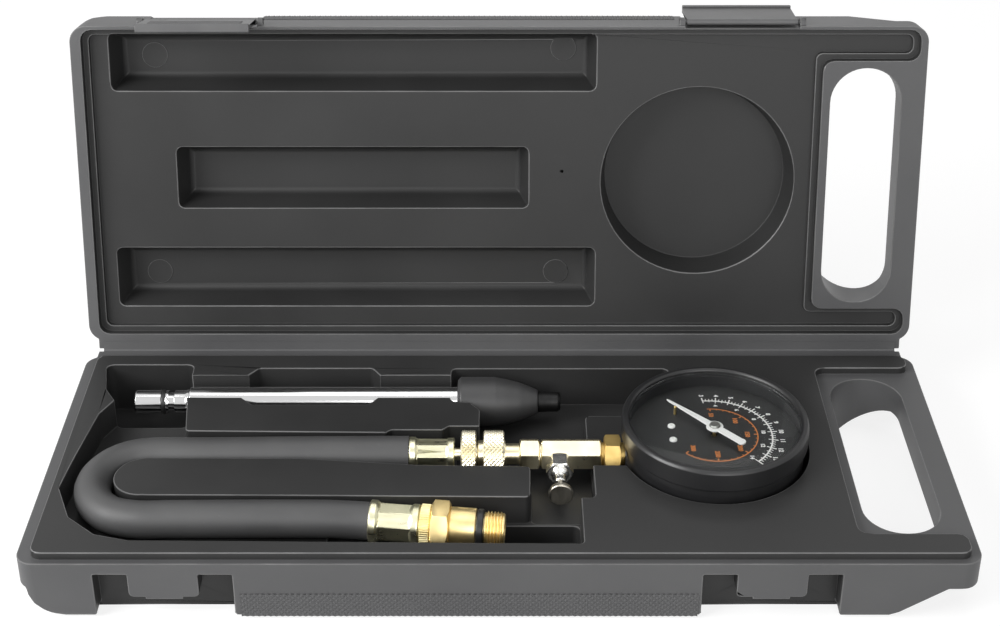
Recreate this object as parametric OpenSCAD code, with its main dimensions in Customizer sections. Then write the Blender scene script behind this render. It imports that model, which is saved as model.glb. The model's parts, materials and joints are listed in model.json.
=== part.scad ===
// Engine compression tester in its moulded carry case, shown open.
// The origin is the centre of the case's underside, X runs along the hinge and Y to the back.
// The lid is drawn closed and then swung to its shown angle about the hinge line.

/* [Case] */
// Width of the case along the hinge
case_w = 360; // [356:1:366]
// Depth of each half from front to back
case_d = 140; // [138:1:142]
// Height of the lower half at its rim
base_h = 26; // [26:0.1:26.4]
// Height of the lid from its rim to its outer face
lid_h = 25.8; // [25:0.1:26]
// Height of the thin band that carries the handle
band_h = 12; // [10:0.5:13]
// Radius of the four corners in plan
case_corner_r = 7; // [5:0.5:9]
// Height of the raised tray deck above the rim
deck_rise = 3.2; // [2.5:0.1:3.4]
// Angle to which the lid is opened from closed
lid_open = 102; // [95:1:110]
// Gap between the two rims when closed
rim_gap = 0.3; // [0.2:0.05:0.4]
// Length of the hand hole
slot_len = 104; // [96:1:106]
// Width of the hand hole
slot_w = 30; // [26:1:30]

/* [Tester] */
// Height of the gauge, tee and coupler axis above the table
line_z = 24.7; // [24.6:0.05:24.8]
// Outer radius of the gauge bezel
bezel_r = 37.35; // [36:0.05:37.4]
// Height of the gauge from its back to the bezel
gauge_h = 28.7; // [28:0.1:29]
// Depth from the bezel's top edge to the dial
dial_sink = 8.9; // [8.5:0.1:9]
// Hexagon across flats of the tee and the coupler nut
tee_af = 11.4; // [11:0.1:11.6]
// Hexagon across flats of the gauge socket
socket_af = 13.6; // [13:0.1:14]
// Radius of the two knurled rings of the coupler
knurl_r = 9.7; // [9:0.1:9.8]
// Radius of the rubber hose
hose_r = 7.3; // [7:0.1:7.4]
// Crest radius of the plug thread
thread_r = 6.95; // [6.9:0.05:7]
// Hexagon across flats of the plug adaptor
adaptor_af = 17.4; // [16.5:0.1:17.5]

/* [Probe] */
// Radius of the chromed push-in tube
tube_r = 6.45; // [6:0.05:6.5]
// Radius of the rubber cone's shoulder
cone_r = 10.5; // [10:0.1:10.6]

/* [Movement] */
// Teeth on the pointer's pinion
pinion_teeth = 12; // [12:1:12]
// Teeth that a full sector wheel would have
sector_teeth = 72; // [72:1:72]
// Tooth module of the movement
gear_module = 0.36; // [0.34:0.01:0.36]

/* [Hidden] */

fit_gap = 0.05;
half_w = case_w / 2;
half_d = case_d / 2;
deck_z = base_h + deck_rise;
lid_z = base_h + rim_gap;
lid_top = lid_z + lid_h;
hinge_y = half_d + 4.5;
hinge_z = base_h + rim_gap / 2;

// Plan of the raised deck: its four sides, and the handle bay cut out of its right end
deck_x0 = -half_w + 5.5;
deck_x1 = half_w - 4;
deck_y0 = -half_d + 2.5;
deck_y1 = half_d - 4;
bay_x = half_w - 44.5;
bay_y = 56;
slot_x = half_w - 25;

// The lid's stepped recess stands outside the deck by this much, and each step's depth
recess_gap = 0.8;
ledge_w = 2.6;
step_a = 3.6;
panel_sink = 6;
channel_sink = 19;
channel_draft = 3.8;
gauge_sink = 21;

// Left end curve and right foot of both halves' outer faces
curve_w = 23;
foot_x = half_w - 36;
slant_x = half_w - 12;

// Latches: middle, width, pivot line, plate and hook, all with the lid closed
latch_w = 46.5;
latch_xs = [-125.2, 101.9];
latch_y = -half_d - 1.2;
latch_z = lid_z + 3;
latch_t = 2;
plate_y = -half_d - 0.4;
roll_r = 1.4;
peg_r = 1;
lug_r = 1.9;
lug_t = 2.5;
lug_gap = 0.7;
hook_z = 9;
latch_rest = [4, 176];
scoop_w = 52;
scoop_top = 21;
scoop_d = 8;
pad_w = 26.4;
tab_w = 14;
foot_r = 3;

// Heights of the tray's floors
hose_floor = 16.3;
fitting_floor = 14.6;
end_floor = 14;
pocket_floor = 8;
bay_floor = 6;
cradle_floor = 14.5;
cone_floor = 10.4;
shelf_floor = 16;
cut_top = deck_z + 1;

// Tester line, from the hose on the left to the gauge on the right
gauge_x = 86.4;
gauge_z0 = 14.2;
gauge_top = gauge_z0 + gauge_h;
dial_z = gauge_top - dial_sink;
pointer_z = gauge_top - 5.6;
pointer_t = 0.8;
zero_dir = 133;
body_r = bezel_r - 1.3;
inner_r = bezel_r - 3.4;
socket_x0 = 42.4;
tee_x0 = 16.8;
tee_x1 = 41.2;
nut_x0 = 8.2;
sleeve_x0 = -6.4;
sleeve_x1 = 2.2;
ring_x0 = -15.4;
ring_x1 = -9.2;
ferrule_x0 = -36.4;
ferrule_x1 = -18;
valve_x = 24.2;
valve_y0 = -tee_af / 2;
stem_r = 4.75;

// Lower end of the hose: its start, and how far it is turned towards the front and down
low_start = [-49.6, -41.8, 23.7];
low_yaw = -5;
low_pitch = 1;
low_dir = [cos(low_pitch) * cos(low_yaw), cos(low_pitch) * sin(low_yaw), -sin(low_pitch)];

// Probe line
probe_y = 42;
probe_z = 21.3;
probe_x0 = -154.7;
probe_tube_x0 = -131.6;
probe_tube_x1 = -17.6;
cone_x1 = 6.7;
cone_x2 = 16.4;
tip_x1 = 26;

// Movement of the gauge
pinion_r = gear_module * pinion_teeth / 2;
sector_r = gear_module * sector_teeth / 2;
sector_dir = 20;
sector_pos = (pinion_r + sector_r) * [cos(sector_dir), sin(sector_dir)];
sector_swing = 45;
arbor_r = 0.75;
plate_zs = [18.4, 30.6];
plate_t = 1.2;
gear_z = 22.6;
gear_t = 1.4;
tube_mid_r = 27.2;
tube_end = 82;
tail_dir = 75;
tail_r = 5.5;
link_tip_r = 22.2;

// Centre line of the hose: a run, the turn at the left end and the run back to the plug end
turn_x = -139.5;
turn_y = -20.5;
turn_r = 20.5;
hose_sides = 12;
hose_route = [[ferrule_x0, 0, line_z], [-48, 0, line_z], [-64, 0, 24.6], [-80, 0, 24.5],
    [-96, 0, 24.3], [-112, 0, 24.1], [-126, 0, 24], [turn_x, 0, 23.9],
    for (a = [115:25:240]) [turn_x + turn_r * cos(a), turn_y + turn_r * sin(a), 23.9],
    [turn_x, -41, 23.9], [-126, -41, 24], [-112, -41, 24.1], [-96, -41, 24.2], [-80, -41, 24.2],
    [-66, -41.1, 24.2], low_start - 5 * low_dir, low_start];

function unit(v) = v / norm(v);

// Points of the arc of radius r that rounds the corner b between a and c
function corner_arc(a, b, c, r, n) =
    let (u = unit(a - b), w = unit(c - b), half = acos(u * w) / 2,
        o = b + unit(u + w) * r / sin(half), p = b + u * r / tan(half) - o,
        q = b + w * r / tan(half) - o, start = atan2(p.y, p.x),
        sweep = (atan2(q.y, q.x) - start + 540) % 360 - 180)
    [for (i = [0:n]) o + r * [cos(start + sweep * i / n), sin(start + sweep * i / n)]];

// A closed outline with every corner rounded to the radius r
function rounded(pts, r, n = 4) =
    let (k = len(pts))
    [for (i = [0:k - 1]) each corner_arc(pts[(i + k - 1) % k], pts[i], pts[(i + 1) % k], r, n)];

// Points of one gear's outline: trapezoid teeth that are thinner than their gaps
function tooth_ring(teeth, count, tip, root, start) =
    [for (i = [0:count - 1]) let (a = start + i * 360 / teeth, p = 360 / teeth)
        each [root * [cos(a - 0.3 * p), sin(a - 0.3 * p)], tip * [cos(a - 0.12 * p), sin(a - 0.12 * p)],
            tip * [cos(a + 0.12 * p), sin(a + 0.12 * p)], root * [cos(a + 0.3 * p), sin(a + 0.3 * p)]]];

// Direction along a route at its point i
function along(route, i) =
    unit(route[min(i + 1, len(route) - 1)] - route[max(i - 1, 0)]);

// One ring of a tube, square to the route at its point i
function tube_ring(route, i, r, sides) =
    let (t = along(route, i), s = unit(cross(t, [0, 0, 1])), u = cross(s, t))
    [for (k = [0:sides - 1]) route[i] + r * (cos(k * 360 / sides) * s + sin(k * 360 / sides) * u)];

// A rectangle from one corner to the other, with true arcs in its corners
module round_rect(x0, y0, x1, y1, r) {
    translate([x0 + r, y0]) square([x1 - x0 - 2 * r, y1 - y0]);
    translate([x0, y0 + r]) square([x1 - x0, y1 - y0 - 2 * r]);
    for (x = [x0 + r, x1 - r], y = [y0 + r, y1 - r]) translate([x, y]) circle(r, $fn = 48);
}

// Extrude a plan outline between two heights
module slab(z0, z1) {
    translate([0, 0, z0]) linear_extrude(z1 - z0) children();
}

// Turn a piece that is modelled along Z so that it lies along X from x, y, z
module lie_x(x, y, z) {
    translate([x, y, z]) rotate([0, 90, 0]) children();
}

// Place a piece that is modelled along X on the lower end's own axis
module on_lower_axis() {
    translate(low_start) rotate([0, low_pitch, low_yaw]) children();
}

// Swing the lid and what it carries from closed to the shown angle
module with_lid() {
    translate([0, hinge_y, hinge_z]) rotate([-lid_open, 0, 0]) translate([0, -hinge_y, -hinge_z]) children();
}

// A hexagon bar along X with turned chamfers on both ends
module hex_bar(x0, x1, af, chamfer = 1.2) {
    corner = af / sqrt(3);
    intersection() {
        translate([x0, 0, 0]) rotate([90, 0, 90]) cylinder(h = x1 - x0, r = corner, $fn = 6);
        rotate([0, 90, 0]) rotate_extrude($fn = 64)
            polygon([[0, x0], [corner - chamfer, x0], [corner + 0.01, x0 + chamfer * 0.6],
                [corner + 0.01, x1 - chamfer * 0.6], [corner - chamfer, x1], [0, x1]]);
    }
}

// A turned piece along X, from a list of [x, radius] points
module turned_x(profile) {
    k = len(profile) - 1;
    rotate([0, 90, 0]) rotate_extrude($fn = 64)
        polygon([[0, profile[0][0]], for (p = profile) [p[1], p[0]], [0, profile[k][0]]]);
}

// A straight round bar or bore along X
module bar_x(x0, x1, r) {
    translate([x0, 0, 0]) rotate([0, 90, 0]) cylinder(h = x1 - x0, r = r, $fn = 48);
}

// A ring with straight knurls cut along it
module knurled_ring(x0, x1, r, bore, cuts) {
    difference() {
        turned_x([[x0, r - 0.6], [x0 + 0.6, r], [x1 - 0.6, r], [x1, r - 0.6]]);
        bar_x(x0 - 1, x1 + 1, bore);
        for (i = [0:cuts - 1]) rotate([i * 360 / cuts, 0, 0]) translate([x0 - 1, 0, r + 0.35])
            rotate([0, 90, 0]) cylinder(h = x1 - x0 + 2, r = 0.8, $fn = 4);
    }
}

// Front view of a half's outer face: flat band at the rim, curved left end, foot and slant at the right
module end_profile(rim, face, band) {
    polygon([[-half_w, rim], [half_w, rim], [half_w, band], [slant_x, band], [foot_x + 2, face],
        [foot_x, face], for (a = [0:15:90])
            [-half_w + curve_w - curve_w * sin(a) * 0.86, face + (band - face) * (1 - cos(a))],
        [-half_w + 1, band], [-half_w, band]]);
}

// One half's outer body, with rounded corners in plan and along the long edges
module half_body(rim, face, band) {
    s = sign(rim - face);
    intersection() {
        translate([0, half_d, 0]) rotate([90, 0, 0]) linear_extrude(case_d) end_profile(rim, face, band);
        slab(-1, lid_top + 1) round_rect(-half_w, -half_d, half_w, half_d, case_corner_r);
        translate([-half_w, 0, 0]) rotate([90, 0, 90]) linear_extrude(case_w)
            polygon([[-half_d, rim], [-half_d, face + 3 * s], [-half_d + 0.9, face + 0.9 * s],
                [-half_d + 3, face], [half_d - 3, face], [half_d - 0.9, face + 0.9 * s],
                [half_d, face + 3 * s], [half_d, rim]]);
    }
}

// Plan of the deck, grown outwards by g; the lid's recess steps are the same shape
module deck_plan(g, r) {
    polygon(rounded([[deck_x0 - g, deck_y0 - g], [deck_x1 + g, deck_y0 - g], [deck_x1 + g, -bay_y + g],
        [bay_x + g, -bay_y + g], [bay_x + g, bay_y - g], [deck_x1 + g, bay_y - g],
        [deck_x1 + g, deck_y1 + g], [deck_x0 - g, deck_y1 + g]], r));
}

// Plan of the hand hole, the same in both halves
module slot_plan() {
    round_rect(slot_x - slot_w / 2, -slot_len / 2, slot_x + slot_w / 2, slot_len / 2, slot_w / 2 - 0.1);
}

// Plan of the island that the hose runs round
module island_plan() {
    difference() {
        polygon(rounded([[turn_x, -32.5], [-77, -32.9], [12.1, -33.8], [12.4, -14.2], [-31.4, -13.2],
            [-79.3, -8.9], [turn_x, -8.6]], 2));
        translate([turn_x - 20, -40]) square([20 - 0.1, 40]);
    }
    translate([turn_x, turn_y]) circle(12, $fn = 64);
}

// Plan of the tray hollow that holds the hose, the coupler and the plug adaptor
module hose_plan() {
    polygon(rounded([[16, 13.1], [-20.6, 13.1], [-23, 10.5], [-44, 10.5], [-46, 8.6], [-128, 9.8],
        [-131, 34], [-160, 34], [-165.5, 22], [-169.4, -8], [-171.4, -28], [-164, -46],
        [-152, -56.5], [-138.7, -60], [31.8, -62], [31.8, -30], [16, -30]], 1.8));
}

// Plans of the probe's hollows: end bay, two cradles, finger bay and cone bay
module plug_bay_plan() {
    polygon(rounded([[-131.5, 58.5], [-131.5, 30], [-160, 30], [-166, 40], [-169.5, 58.5]], 3));
}

module cradle_plan(x0, x1) {
    translate([x0, 33.6]) square([x1 - x0, 16.8]);
}

module finger_bay_plan() {
    polygon(rounded([[-108.5, 34], [-103.2, 28.6], [-54.6, 28.6], [-50.6, 34], [-50.6, 50], [-54.6, 55.7],
        [-103.2, 55.7], [-107.4, 50]], 2));
}

module cone_bay_plan() {
    polygon(rounded([[-20.4, 55.4], [72.4, 55.4], [72.4, 39], [36.5, 39], [36.5, 5], [-8, 5],
        [-8, 24.6], [-12.3, 30], [-20.4, 31]], 2.5));
}

// A front view outline made solid through the depth of the latch recesses
module front_slab(y0, y1) {
    translate([0, y1, 0]) rotate([90, 0, 0]) linear_extrude(y1 - y0) children();
}

// Recess in the base's front wall under one latch, with the pad that the latch hooks under
module latch_scoop(x) {
    difference() {
        translate([x - scoop_w / 2, 0, 0]) rotate([90, 0, 90]) linear_extrude(scoop_w)
            polygon([[-half_d - 1, scoop_top], [-half_d, scoop_top], [-half_d + scoop_d, scoop_top - 6],
                [-half_d + scoop_d, -1], [-half_d - 1, -1]]);
        front_slab(-half_d, -half_d + scoop_d + 1) {
            round_rect(x - pad_w / 2, hook_z + 1.3, x + pad_w / 2, base_h, 2);
            translate([x - tab_w / 2, hook_z + 0.3]) square([tab_w, 4]);
        }
    }
    for (s = [-1, 1]) front_slab(-half_d - 1, -half_d + scoop_d) difference() {
        translate([x + s * (scoop_w + foot_r) / 2, foot_r / 2 - 0.5])
            square([foot_r, foot_r + 1], center = true);
        translate([x + s * (scoop_w / 2 + foot_r), foot_r]) circle(foot_r, $fn = 48);
    }
}

module case_base() {
    color("#3b3b3d") difference() {
        union() {
            half_body(base_h, 0, base_h - band_h);
            slab(base_h - 4, deck_z) deck_plan(0, 4.2);
            translate([-half_w + 4, half_d - 2, base_h - 1]) cube([case_w - 8, 6.2, 1]);
        }
        difference() {
            slab(hose_floor, cut_top) hose_plan();
            slab(10, deck_z + 2) island_plan();
        }
        slab(fitting_floor, cut_top) polygon(rounded([[-17.5, 13], [36.5, 13], [36.5, -13.9], [12.5, -13.9],
            [-17.5, -13]], 1.5));
        slab(pocket_floor, cut_top) round_rect(-9, -60.5, 31.5, -35.6, 3);
        slab(end_floor, cut_top) round_rect(-66, -58, -6, -35.6, 3);
        slab(fitting_floor, cut_top)
            polygon(rounded([[12.8, 5], [37.3, 5], [37.3, -34.2], [12.8, -34.2]], 2));
        slab(bay_floor, cut_top) plug_bay_plan();
        slab(cradle_floor, cut_top) cradle_plan(-133, -106);
        slab(bay_floor, cut_top) finger_bay_plan();
        slab(cradle_floor, cut_top) cradle_plan(-56, -19);
        slab(cone_floor, cut_top) cone_bay_plan();
        slab(shelf_floor, cut_top) polygon(rounded([[34, 41], [62, 41], [62, -13.6], [34, -13.6]], 2));
        translate([gauge_x, 0, gauge_z0 - 0.3]) cylinder(h = 20, r = bezel_r + 0.95, $fn = 96);
        slab(-1, cut_top) slot_plan();
        for (x = latch_xs) latch_scoop(x);
    }
}

// The bead of the living hinge, between the two rim flanges
module hinge_web() {
    color("#333335") lie_x(-half_w + 6, hinge_y, hinge_z) cylinder(h = case_w - 12, r = 0.5, $fn = 32);
}

// Section of a lid channel: drawn in from the panel to a floor with rounded edges
function channel_section(a, b) =
    [[a, lid_z], [b, lid_z], [b, lid_z + panel_sink],
        each corner_arc([b, lid_z + panel_sink], [b - channel_draft, lid_z + channel_sink],
            [a, lid_z + channel_sink], 3, 4),
        each corner_arc([b, lid_z + channel_sink], [a + channel_draft, lid_z + channel_sink],
            [a, lid_z + panel_sink], 3, 4),
        [a, lid_z + panel_sink]];

// A channel in the lid: the same section both ways, with rounded corners in plan
module lid_channel(x0, y0, x1, y1) {
    intersection() {
        translate([0, y1, 0]) rotate([90, 0, 0]) linear_extrude(y1 - y0) polygon(channel_section(x0, x1));
        translate([x0, 0, 0]) rotate([90, 0, 90]) linear_extrude(x1 - x0) polygon(channel_section(y0, y1));
        slab(lid_z + 1, lid_top) polygon(rounded([[x0, y0], [x1, y0], [x1, y1], [x0, y1]], 3));
    }
}

// The lugs that carry one latch's pegs
module latch_lugs(x) {
    for (s = [-1, 1]) {
        near = x + s * (latch_w / 2 + lug_gap);
        translate([min(near, near + s * lug_t), latch_y, latch_z]) {
            rotate([0, 90, 0]) cylinder(h = lug_t, r = lug_r, $fn = 32);
            translate([0, 0, -lug_r]) cube([lug_t, 2.6, 2 * lug_r]);
        }
    }
}

// Blind holes for the pegs of one latch
module peg_holes(x) {
    lie_x(x - latch_w / 2 - lug_gap - 2.1, latch_y, latch_z)
        cylinder(h = latch_w + 2 * lug_gap + 4.2, r = peg_r + fit_gap, $fn = 32);
}

module case_lid() {
    marks = [[-148, -54], [27.5, -57], [-151, 44], [25, 44]];
    color("#454547") with_lid() difference() {
        union() {
            difference() {
                union() {
                    half_body(lid_z, lid_top, lid_z + band_h);
                    translate([-half_w + 4, half_d - 2, lid_z]) cube([case_w - 8, 5.8, 1]);
                }
                slab(lid_z - 1, lid_z + step_a) deck_plan(recess_gap, 4.6);
                slab(lid_z, lid_z + panel_sink) deck_plan(recess_gap - ledge_w, 2.8);
                lid_channel(-165, -66, 41.3, -40.9);
                lid_channel(-138.7, -16.4, 12.7, 11);
                lid_channel(-167, 29, 41.9, 55.9);
                translate([gauge_x - 0.9, -1, lid_z])
                    cylinder(h = gauge_sink, r1 = 42.6, r2 = 39.4, $fn = 96);
                slab(lid_z - 1, lid_top + 1) slot_plan();
                for (x = latch_xs) translate([x - latch_w / 2 - lug_gap, -half_d - 1, lid_z - 1])
                    cube([latch_w + 2 * lug_gap, 2, lid_h + 2]);
                translate([26.9, -5.5, lid_z]) cylinder(h = 8, r = 0.8, $fn = 24);
            }
            for (m = marks)
                translate([m.x, m.y, lid_z + channel_sink - 0.4]) cylinder(h = 1, r = 5.5, $fn = 48);
            for (x = latch_xs) latch_lugs(x);
        }
        for (x = latch_xs) peg_holes(x);
    }
}

// One latch, drawn closed: plate, rolled pivot end with pegs, hook lip and finger ribs
module latch(i) {
    face = plate_y - latch_t;
    foot = hook_z - 1.8;
    translate([latch_xs[i], latch_y, latch_z]) rotate([-latch_rest[i], 0, 0])
        translate([-latch_w / 2, -latch_y, -latch_z]) {
            rotate([90, 0, 90]) linear_extrude(latch_w)
                polygon([[face, latch_z], [face, foot + 2], [face - 0.6, foot + 1], [face - 0.6, foot],
                    [-half_d + 0.5, foot], [-half_d + 0.7, foot + 0.5], [-half_d + 0.4, hook_z],
                    [plate_y, hook_z - 0.3], [plate_y, latch_z]]);
            lie_x(0, latch_y, latch_z) cylinder(h = latch_w, r = roll_r, $fn = 32);
            lie_x(-lug_gap - 1.9, latch_y, latch_z)
                cylinder(h = latch_w + 2 * lug_gap + 3.8, r = peg_r, $fn = 32);
            for (z = [12.5:2.2:19.1]) translate([4, face - 0.4, z]) cube([latch_w - 8, 1, 0.9]);
        }
}

module latch_left() {
    color("#3f3f41") with_lid() latch(0);
}

module latch_right() {
    color("#3f3f41") with_lid() latch(1);
}

module gauge_case() {
    color("#1d1d1f") translate([gauge_x, 0, 0]) difference() {
        union() {
            translate([0, 0, gauge_z0]) cylinder(h = 1.4, r1 = body_r - 1.4, r2 = body_r, $fn = 96);
            translate([0, 0, gauge_z0 + 1.4]) cylinder(h = gauge_h - 5.4, r = body_r, $fn = 96);
            translate([-body_r + 0.3, 0, line_z]) rotate([0, 90, 0]) cylinder(h = 4, r = 8.4, $fn = 48);
        }
        translate([0, 0, gauge_z0 + 2]) cylinder(h = gauge_h, r = inner_r, $fn = 96);
        translate([-body_r - 2, 0, line_z]) rotate([0, 90, 0]) cylinder(h = 8, r = stem_r + 0.05, $fn = 48);
    }
}

// Snap-on bezel, with a lip that holds the lens
module gauge_bezel() {
    z0 = gauge_top - 9;
    color("#19191b") translate([gauge_x, 0, 0]) rotate_extrude($fn = 96)
        polygon([[body_r, z0], [bezel_r - 0.3, z0], [bezel_r, z0 + 0.5], [bezel_r, gauge_top - 1],
            [bezel_r - 0.9, gauge_top], [inner_r + 0.9, gauge_top], [inner_r + 0.2, gauge_top - 0.8],
            [inner_r + 0.2, gauge_top - 4], [body_r, gauge_top - 4]]);
}

module gauge_lens() {
    color("#c8d4d8", 0.35)
        translate([gauge_x, 0, gauge_top - 2.8]) cylinder(h = 1.2, r = inner_r + 0.2, $fn = 96);
}

module dial_plate() {
    color("#141414") translate([gauge_x, 0, dial_z - 1]) difference() {
        cylinder(h = 1, r = inner_r, $fn = 96);
        translate([0, 0, -1]) cylinder(h = 3, r = 1.4, $fn = 32);
    }
}

// A plate that reaches from the pinion to the sector's pivot, drilled for the arbors and pillars
module movement_plate(z) {
    translate([gauge_x, 0, z]) rotate([0, 0, sector_dir]) difference() {
        linear_extrude(plate_t) round_rect(-6, -6, norm(sector_pos) + 4.5, 6, 3);
        for (x = [0, norm(sector_pos)])
            translate([x, 0, -1]) cylinder(h = 4, r = arbor_r + fit_gap, $fn = 32);
        for (y = [-4.6, 4.6]) translate([-3.2, y, -1]) cylinder(h = 4, r = 0.8, $fn = 24);
    }
}

module movement_plates() {
    color("#b99a4e") for (z = plate_zs) movement_plate(z);
}

// Pillars between the plates, with feet that stand on the case's floor
module movement_pillars() {
    color("#c2a558") translate([gauge_x, 0, 0]) rotate([0, 0, sector_dir]) for (y = [-4.6, 4.6]) {
        translate([-3.2, y, gauge_z0 + 2]) cylinder(h = plate_zs[0] - gauge_z0 - 2, r = 1.5, $fn = 24);
        translate([-3.2, y, plate_zs[0]]) cylinder(h = plate_zs[1] + 2.2 - plate_zs[0], r = 0.8, $fn = 24);
        translate([-3.2, y, plate_zs[0] + plate_t])
            cylinder(h = plate_zs[1] - plate_zs[0] - plate_t, r = 1.3, $fn = 24);
    }
}

// Flattened tube bent in a C round the inside of the case, closed at its free end
module bourdon_tube() {
    color("#c9a24a") translate([gauge_x, 0, line_z]) rotate([0, 0, 196])
        rotate_extrude(angle = 360 - 196 + tube_end, $fn = 96) translate([tube_mid_r, 0])
            round_rect(-1.6, -4, 1.6, 4, 1.5);
    color("#c9a24a") translate([gauge_x, 0, gear_z + gear_t + 1.5]) rotate([0, 0, tube_end])
        translate([link_tip_r - 1.6, -3, 0]) cube([tube_mid_r - link_tip_r + 1.6, 3.2, 1]);
}

// Brass hexagon socket with its two threaded ends, one in the tee and one in the case
module gauge_socket() {
    wall_x = gauge_x - body_r;
    end_x = gauge_x - tube_mid_r + 3.2;
    color("#a88a3c") translate([0, 0, line_z]) difference() {
        union() {
            hex_bar(socket_x0, wall_x - 1.4, socket_af, 1);
            bar_x(tee_x1 - 8, socket_x0 + 1, stem_r);
            bar_x(wall_x - 2, wall_x + 3.6, stem_r);
            translate([wall_x + 3.2, -8, -4.6]) cube([end_x - wall_x - 3.2, 13.5, 9.2]);
        }
        bar_x(tee_x1 - 9, end_x - 4, 1.6);
        translate([gauge_x, 0, -5]) rotate([0, 0, 196]) rotate_extrude(angle = 40, $fn = 96)
            translate([tube_mid_r - 1.65, 0.95]) square([3.3, 8.1]);
    }
}

// Quadrant with teeth on its rim, a tail for the link and its own arbor
module sector_gear() {
    p = 360 / sector_teeth;
    first = 180 + sector_dir - 1 * p;
    teeth = 12;
    color("#c9ab5c") translate([gauge_x + sector_pos.x, sector_pos.y, 0]) {
        difference() {
            union() {
                translate([0, 0, gear_z]) linear_extrude(gear_t) {
                    polygon([[0, 0], each tooth_ring(sector_teeth, teeth, sector_r + 0.8 * gear_module,
                        sector_r - 1.1 * gear_module, first - (teeth - 2) * p)]);
                    circle(2.2, $fn = 32);
                }
                translate([0, 0, gear_z]) rotate([0, 0, tail_dir])
                    translate([0, -1.1, 0]) cube([tail_r + 1.2, 2.2, gear_t]);
                translate([tail_r * cos(tail_dir), tail_r * sin(tail_dir), gear_z])
                    cylinder(h = gear_t + 2.4, r = 0.5, $fn = 24);
            }
            translate([0, 0, gear_z - 1]) cylinder(h = 4, r = arbor_r - 0.01, $fn = 24);
        }
        translate([0, 0, plate_zs[0]])
            cylinder(h = plate_zs[1] + plate_t - plate_zs[0], r = arbor_r, $fn = 32);
    }
}

// Flat link between the sector's tail and the free end of the tube
module link_rod() {
    tail = sector_pos + tail_r * [cos(tail_dir), sin(tail_dir)];
    tip = link_tip_r * [cos(tube_end - 3), sin(tube_end - 3)];
    run = tip - tail;
    color("#d2c9b0") translate([gauge_x + tail.x, tail.y, gear_z + gear_t + 0.4])
        rotate([0, 0, atan2(run.y, run.x)])
        difference() {
            union() {
                translate([0, -0.9, 0]) cube([norm(run), 1.8, 0.8]);
                cylinder(h = 0.8, r = 1.3, $fn = 32);
                translate([norm(run), 0, 0]) cylinder(h = 0.8, r = 1.3, $fn = 32);
            }
            translate([0, 0, -1]) cylinder(h = 3, r = 0.5 + fit_gap, $fn = 24);
            translate([norm(run), 0, -1]) cylinder(h = 3, r = 0.55, $fn = 24);
        }
}

// Arbor with the pinion cut on it, through both plates and the dial
module pinion_arbor() {
    color("#cfc4a0") translate([gauge_x, 0, 0]) {
        translate([0, 0, plate_zs[0]])
            cylinder(h = pointer_z + pointer_t / 2 - plate_zs[0], r = arbor_r, $fn = 32);
        difference() {
            translate([0, 0, gear_z - 0.6]) linear_extrude(gear_t + 1.2) rotate([0, 0, sector_dir + 15])
                polygon(tooth_ring(pinion_teeth, pinion_teeth, pinion_r + 0.8 * gear_module,
                    pinion_r - 1.1 * gear_module, 0));
            translate([0, 0, gear_z - 2]) cylinder(h = 6, r = arbor_r - 0.01, $fn = 24);
        }
    }
}

// Pointer: a long taper to the scale and a short round-ended tail
module pointer() {
    color("#ecece8") translate([gauge_x, 0, pointer_z]) rotate([0, 0, zero_dir]) difference() {
        linear_extrude(pointer_t) {
            polygon([[0, -1.5], [24.5, -0.35], [26, 0], [24.5, 0.35], [0, 1.5]]);
            translate([-14, -1.5]) square([14, 3]);
            translate([-14, 0]) circle(1.7, $fn = 32);
            circle(3.4, $fn = 48);
        }
        translate([0, 0, -1]) cylinder(h = 3, r = arbor_r, $fn = 32);
    }
}

module pointer_cap() {
    color("#8c8c86")
        translate([gauge_x, 0, pointer_z + pointer_t]) cylinder(h = 0.9, r1 = 2.3, r2 = 1.9, $fn = 48);
}

// Hexagon tee with three tapped ports and the passage between them
module tee_body() {
    color("#dccf9f") translate([0, 0, line_z]) difference() {
        rotate([30, 0, 0]) hex_bar(tee_x0, tee_x1, tee_af);
        bar_x(tee_x0 - 1, tee_x0 + 5.2, stem_r + 0.02);
        bar_x(tee_x1 - 8.1, tee_x1 + 1, stem_r + 0.02);
        bar_x(tee_x0, tee_x1, 2);
        translate([valve_x, 0, 0]) rotate([90, 0, 0]) cylinder(h = tee_af, r = 2, $fn = 32);
    }
}

// Chromed push valve: spigot, hexagon collar and neck, drilled through
module relief_valve_body() {
    color("#c9ccce") translate([valve_x, 0, line_z]) rotate([0, 0, -90]) difference() {
        union() {
            hex_bar(-valve_y0 + 0.02, 13.2, 9.6, 0.9);
            turned_x([[3.4, 1.9], [6, 1.9]]);
            turned_x([[13, 3.6], [14.2, 3.6], [15.2, 2.35], [19, 2.35], [19.4, 2]]);
        }
        bar_x(2, 17.4, 1.6);
        bar_x(17, 21, 1.15);
    }
}

module relief_spring() {
    color("#9aa0a4") translate([valve_x, 0, line_z]) rotate([0, 0, -90]) difference() {
        bar_x(12.6, 17.2, 1.55);
        bar_x(12, 18, 1.2);
    }
}

// Push button: knurled head, stem and the valve disc on its inner end
module relief_button() {
    color("#8f8b80") translate([valve_x, 0, line_z]) rotate([0, 0, -90]) {
        turned_x([[24.8, 4.4], [25.2, 4.9], [26.8, 4.9], [27.2, 4.5]]);
        turned_x([[7.6, 1.5], [9, 1.5], [9, 1.1], [25, 1.1]]);
    }
}

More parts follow.
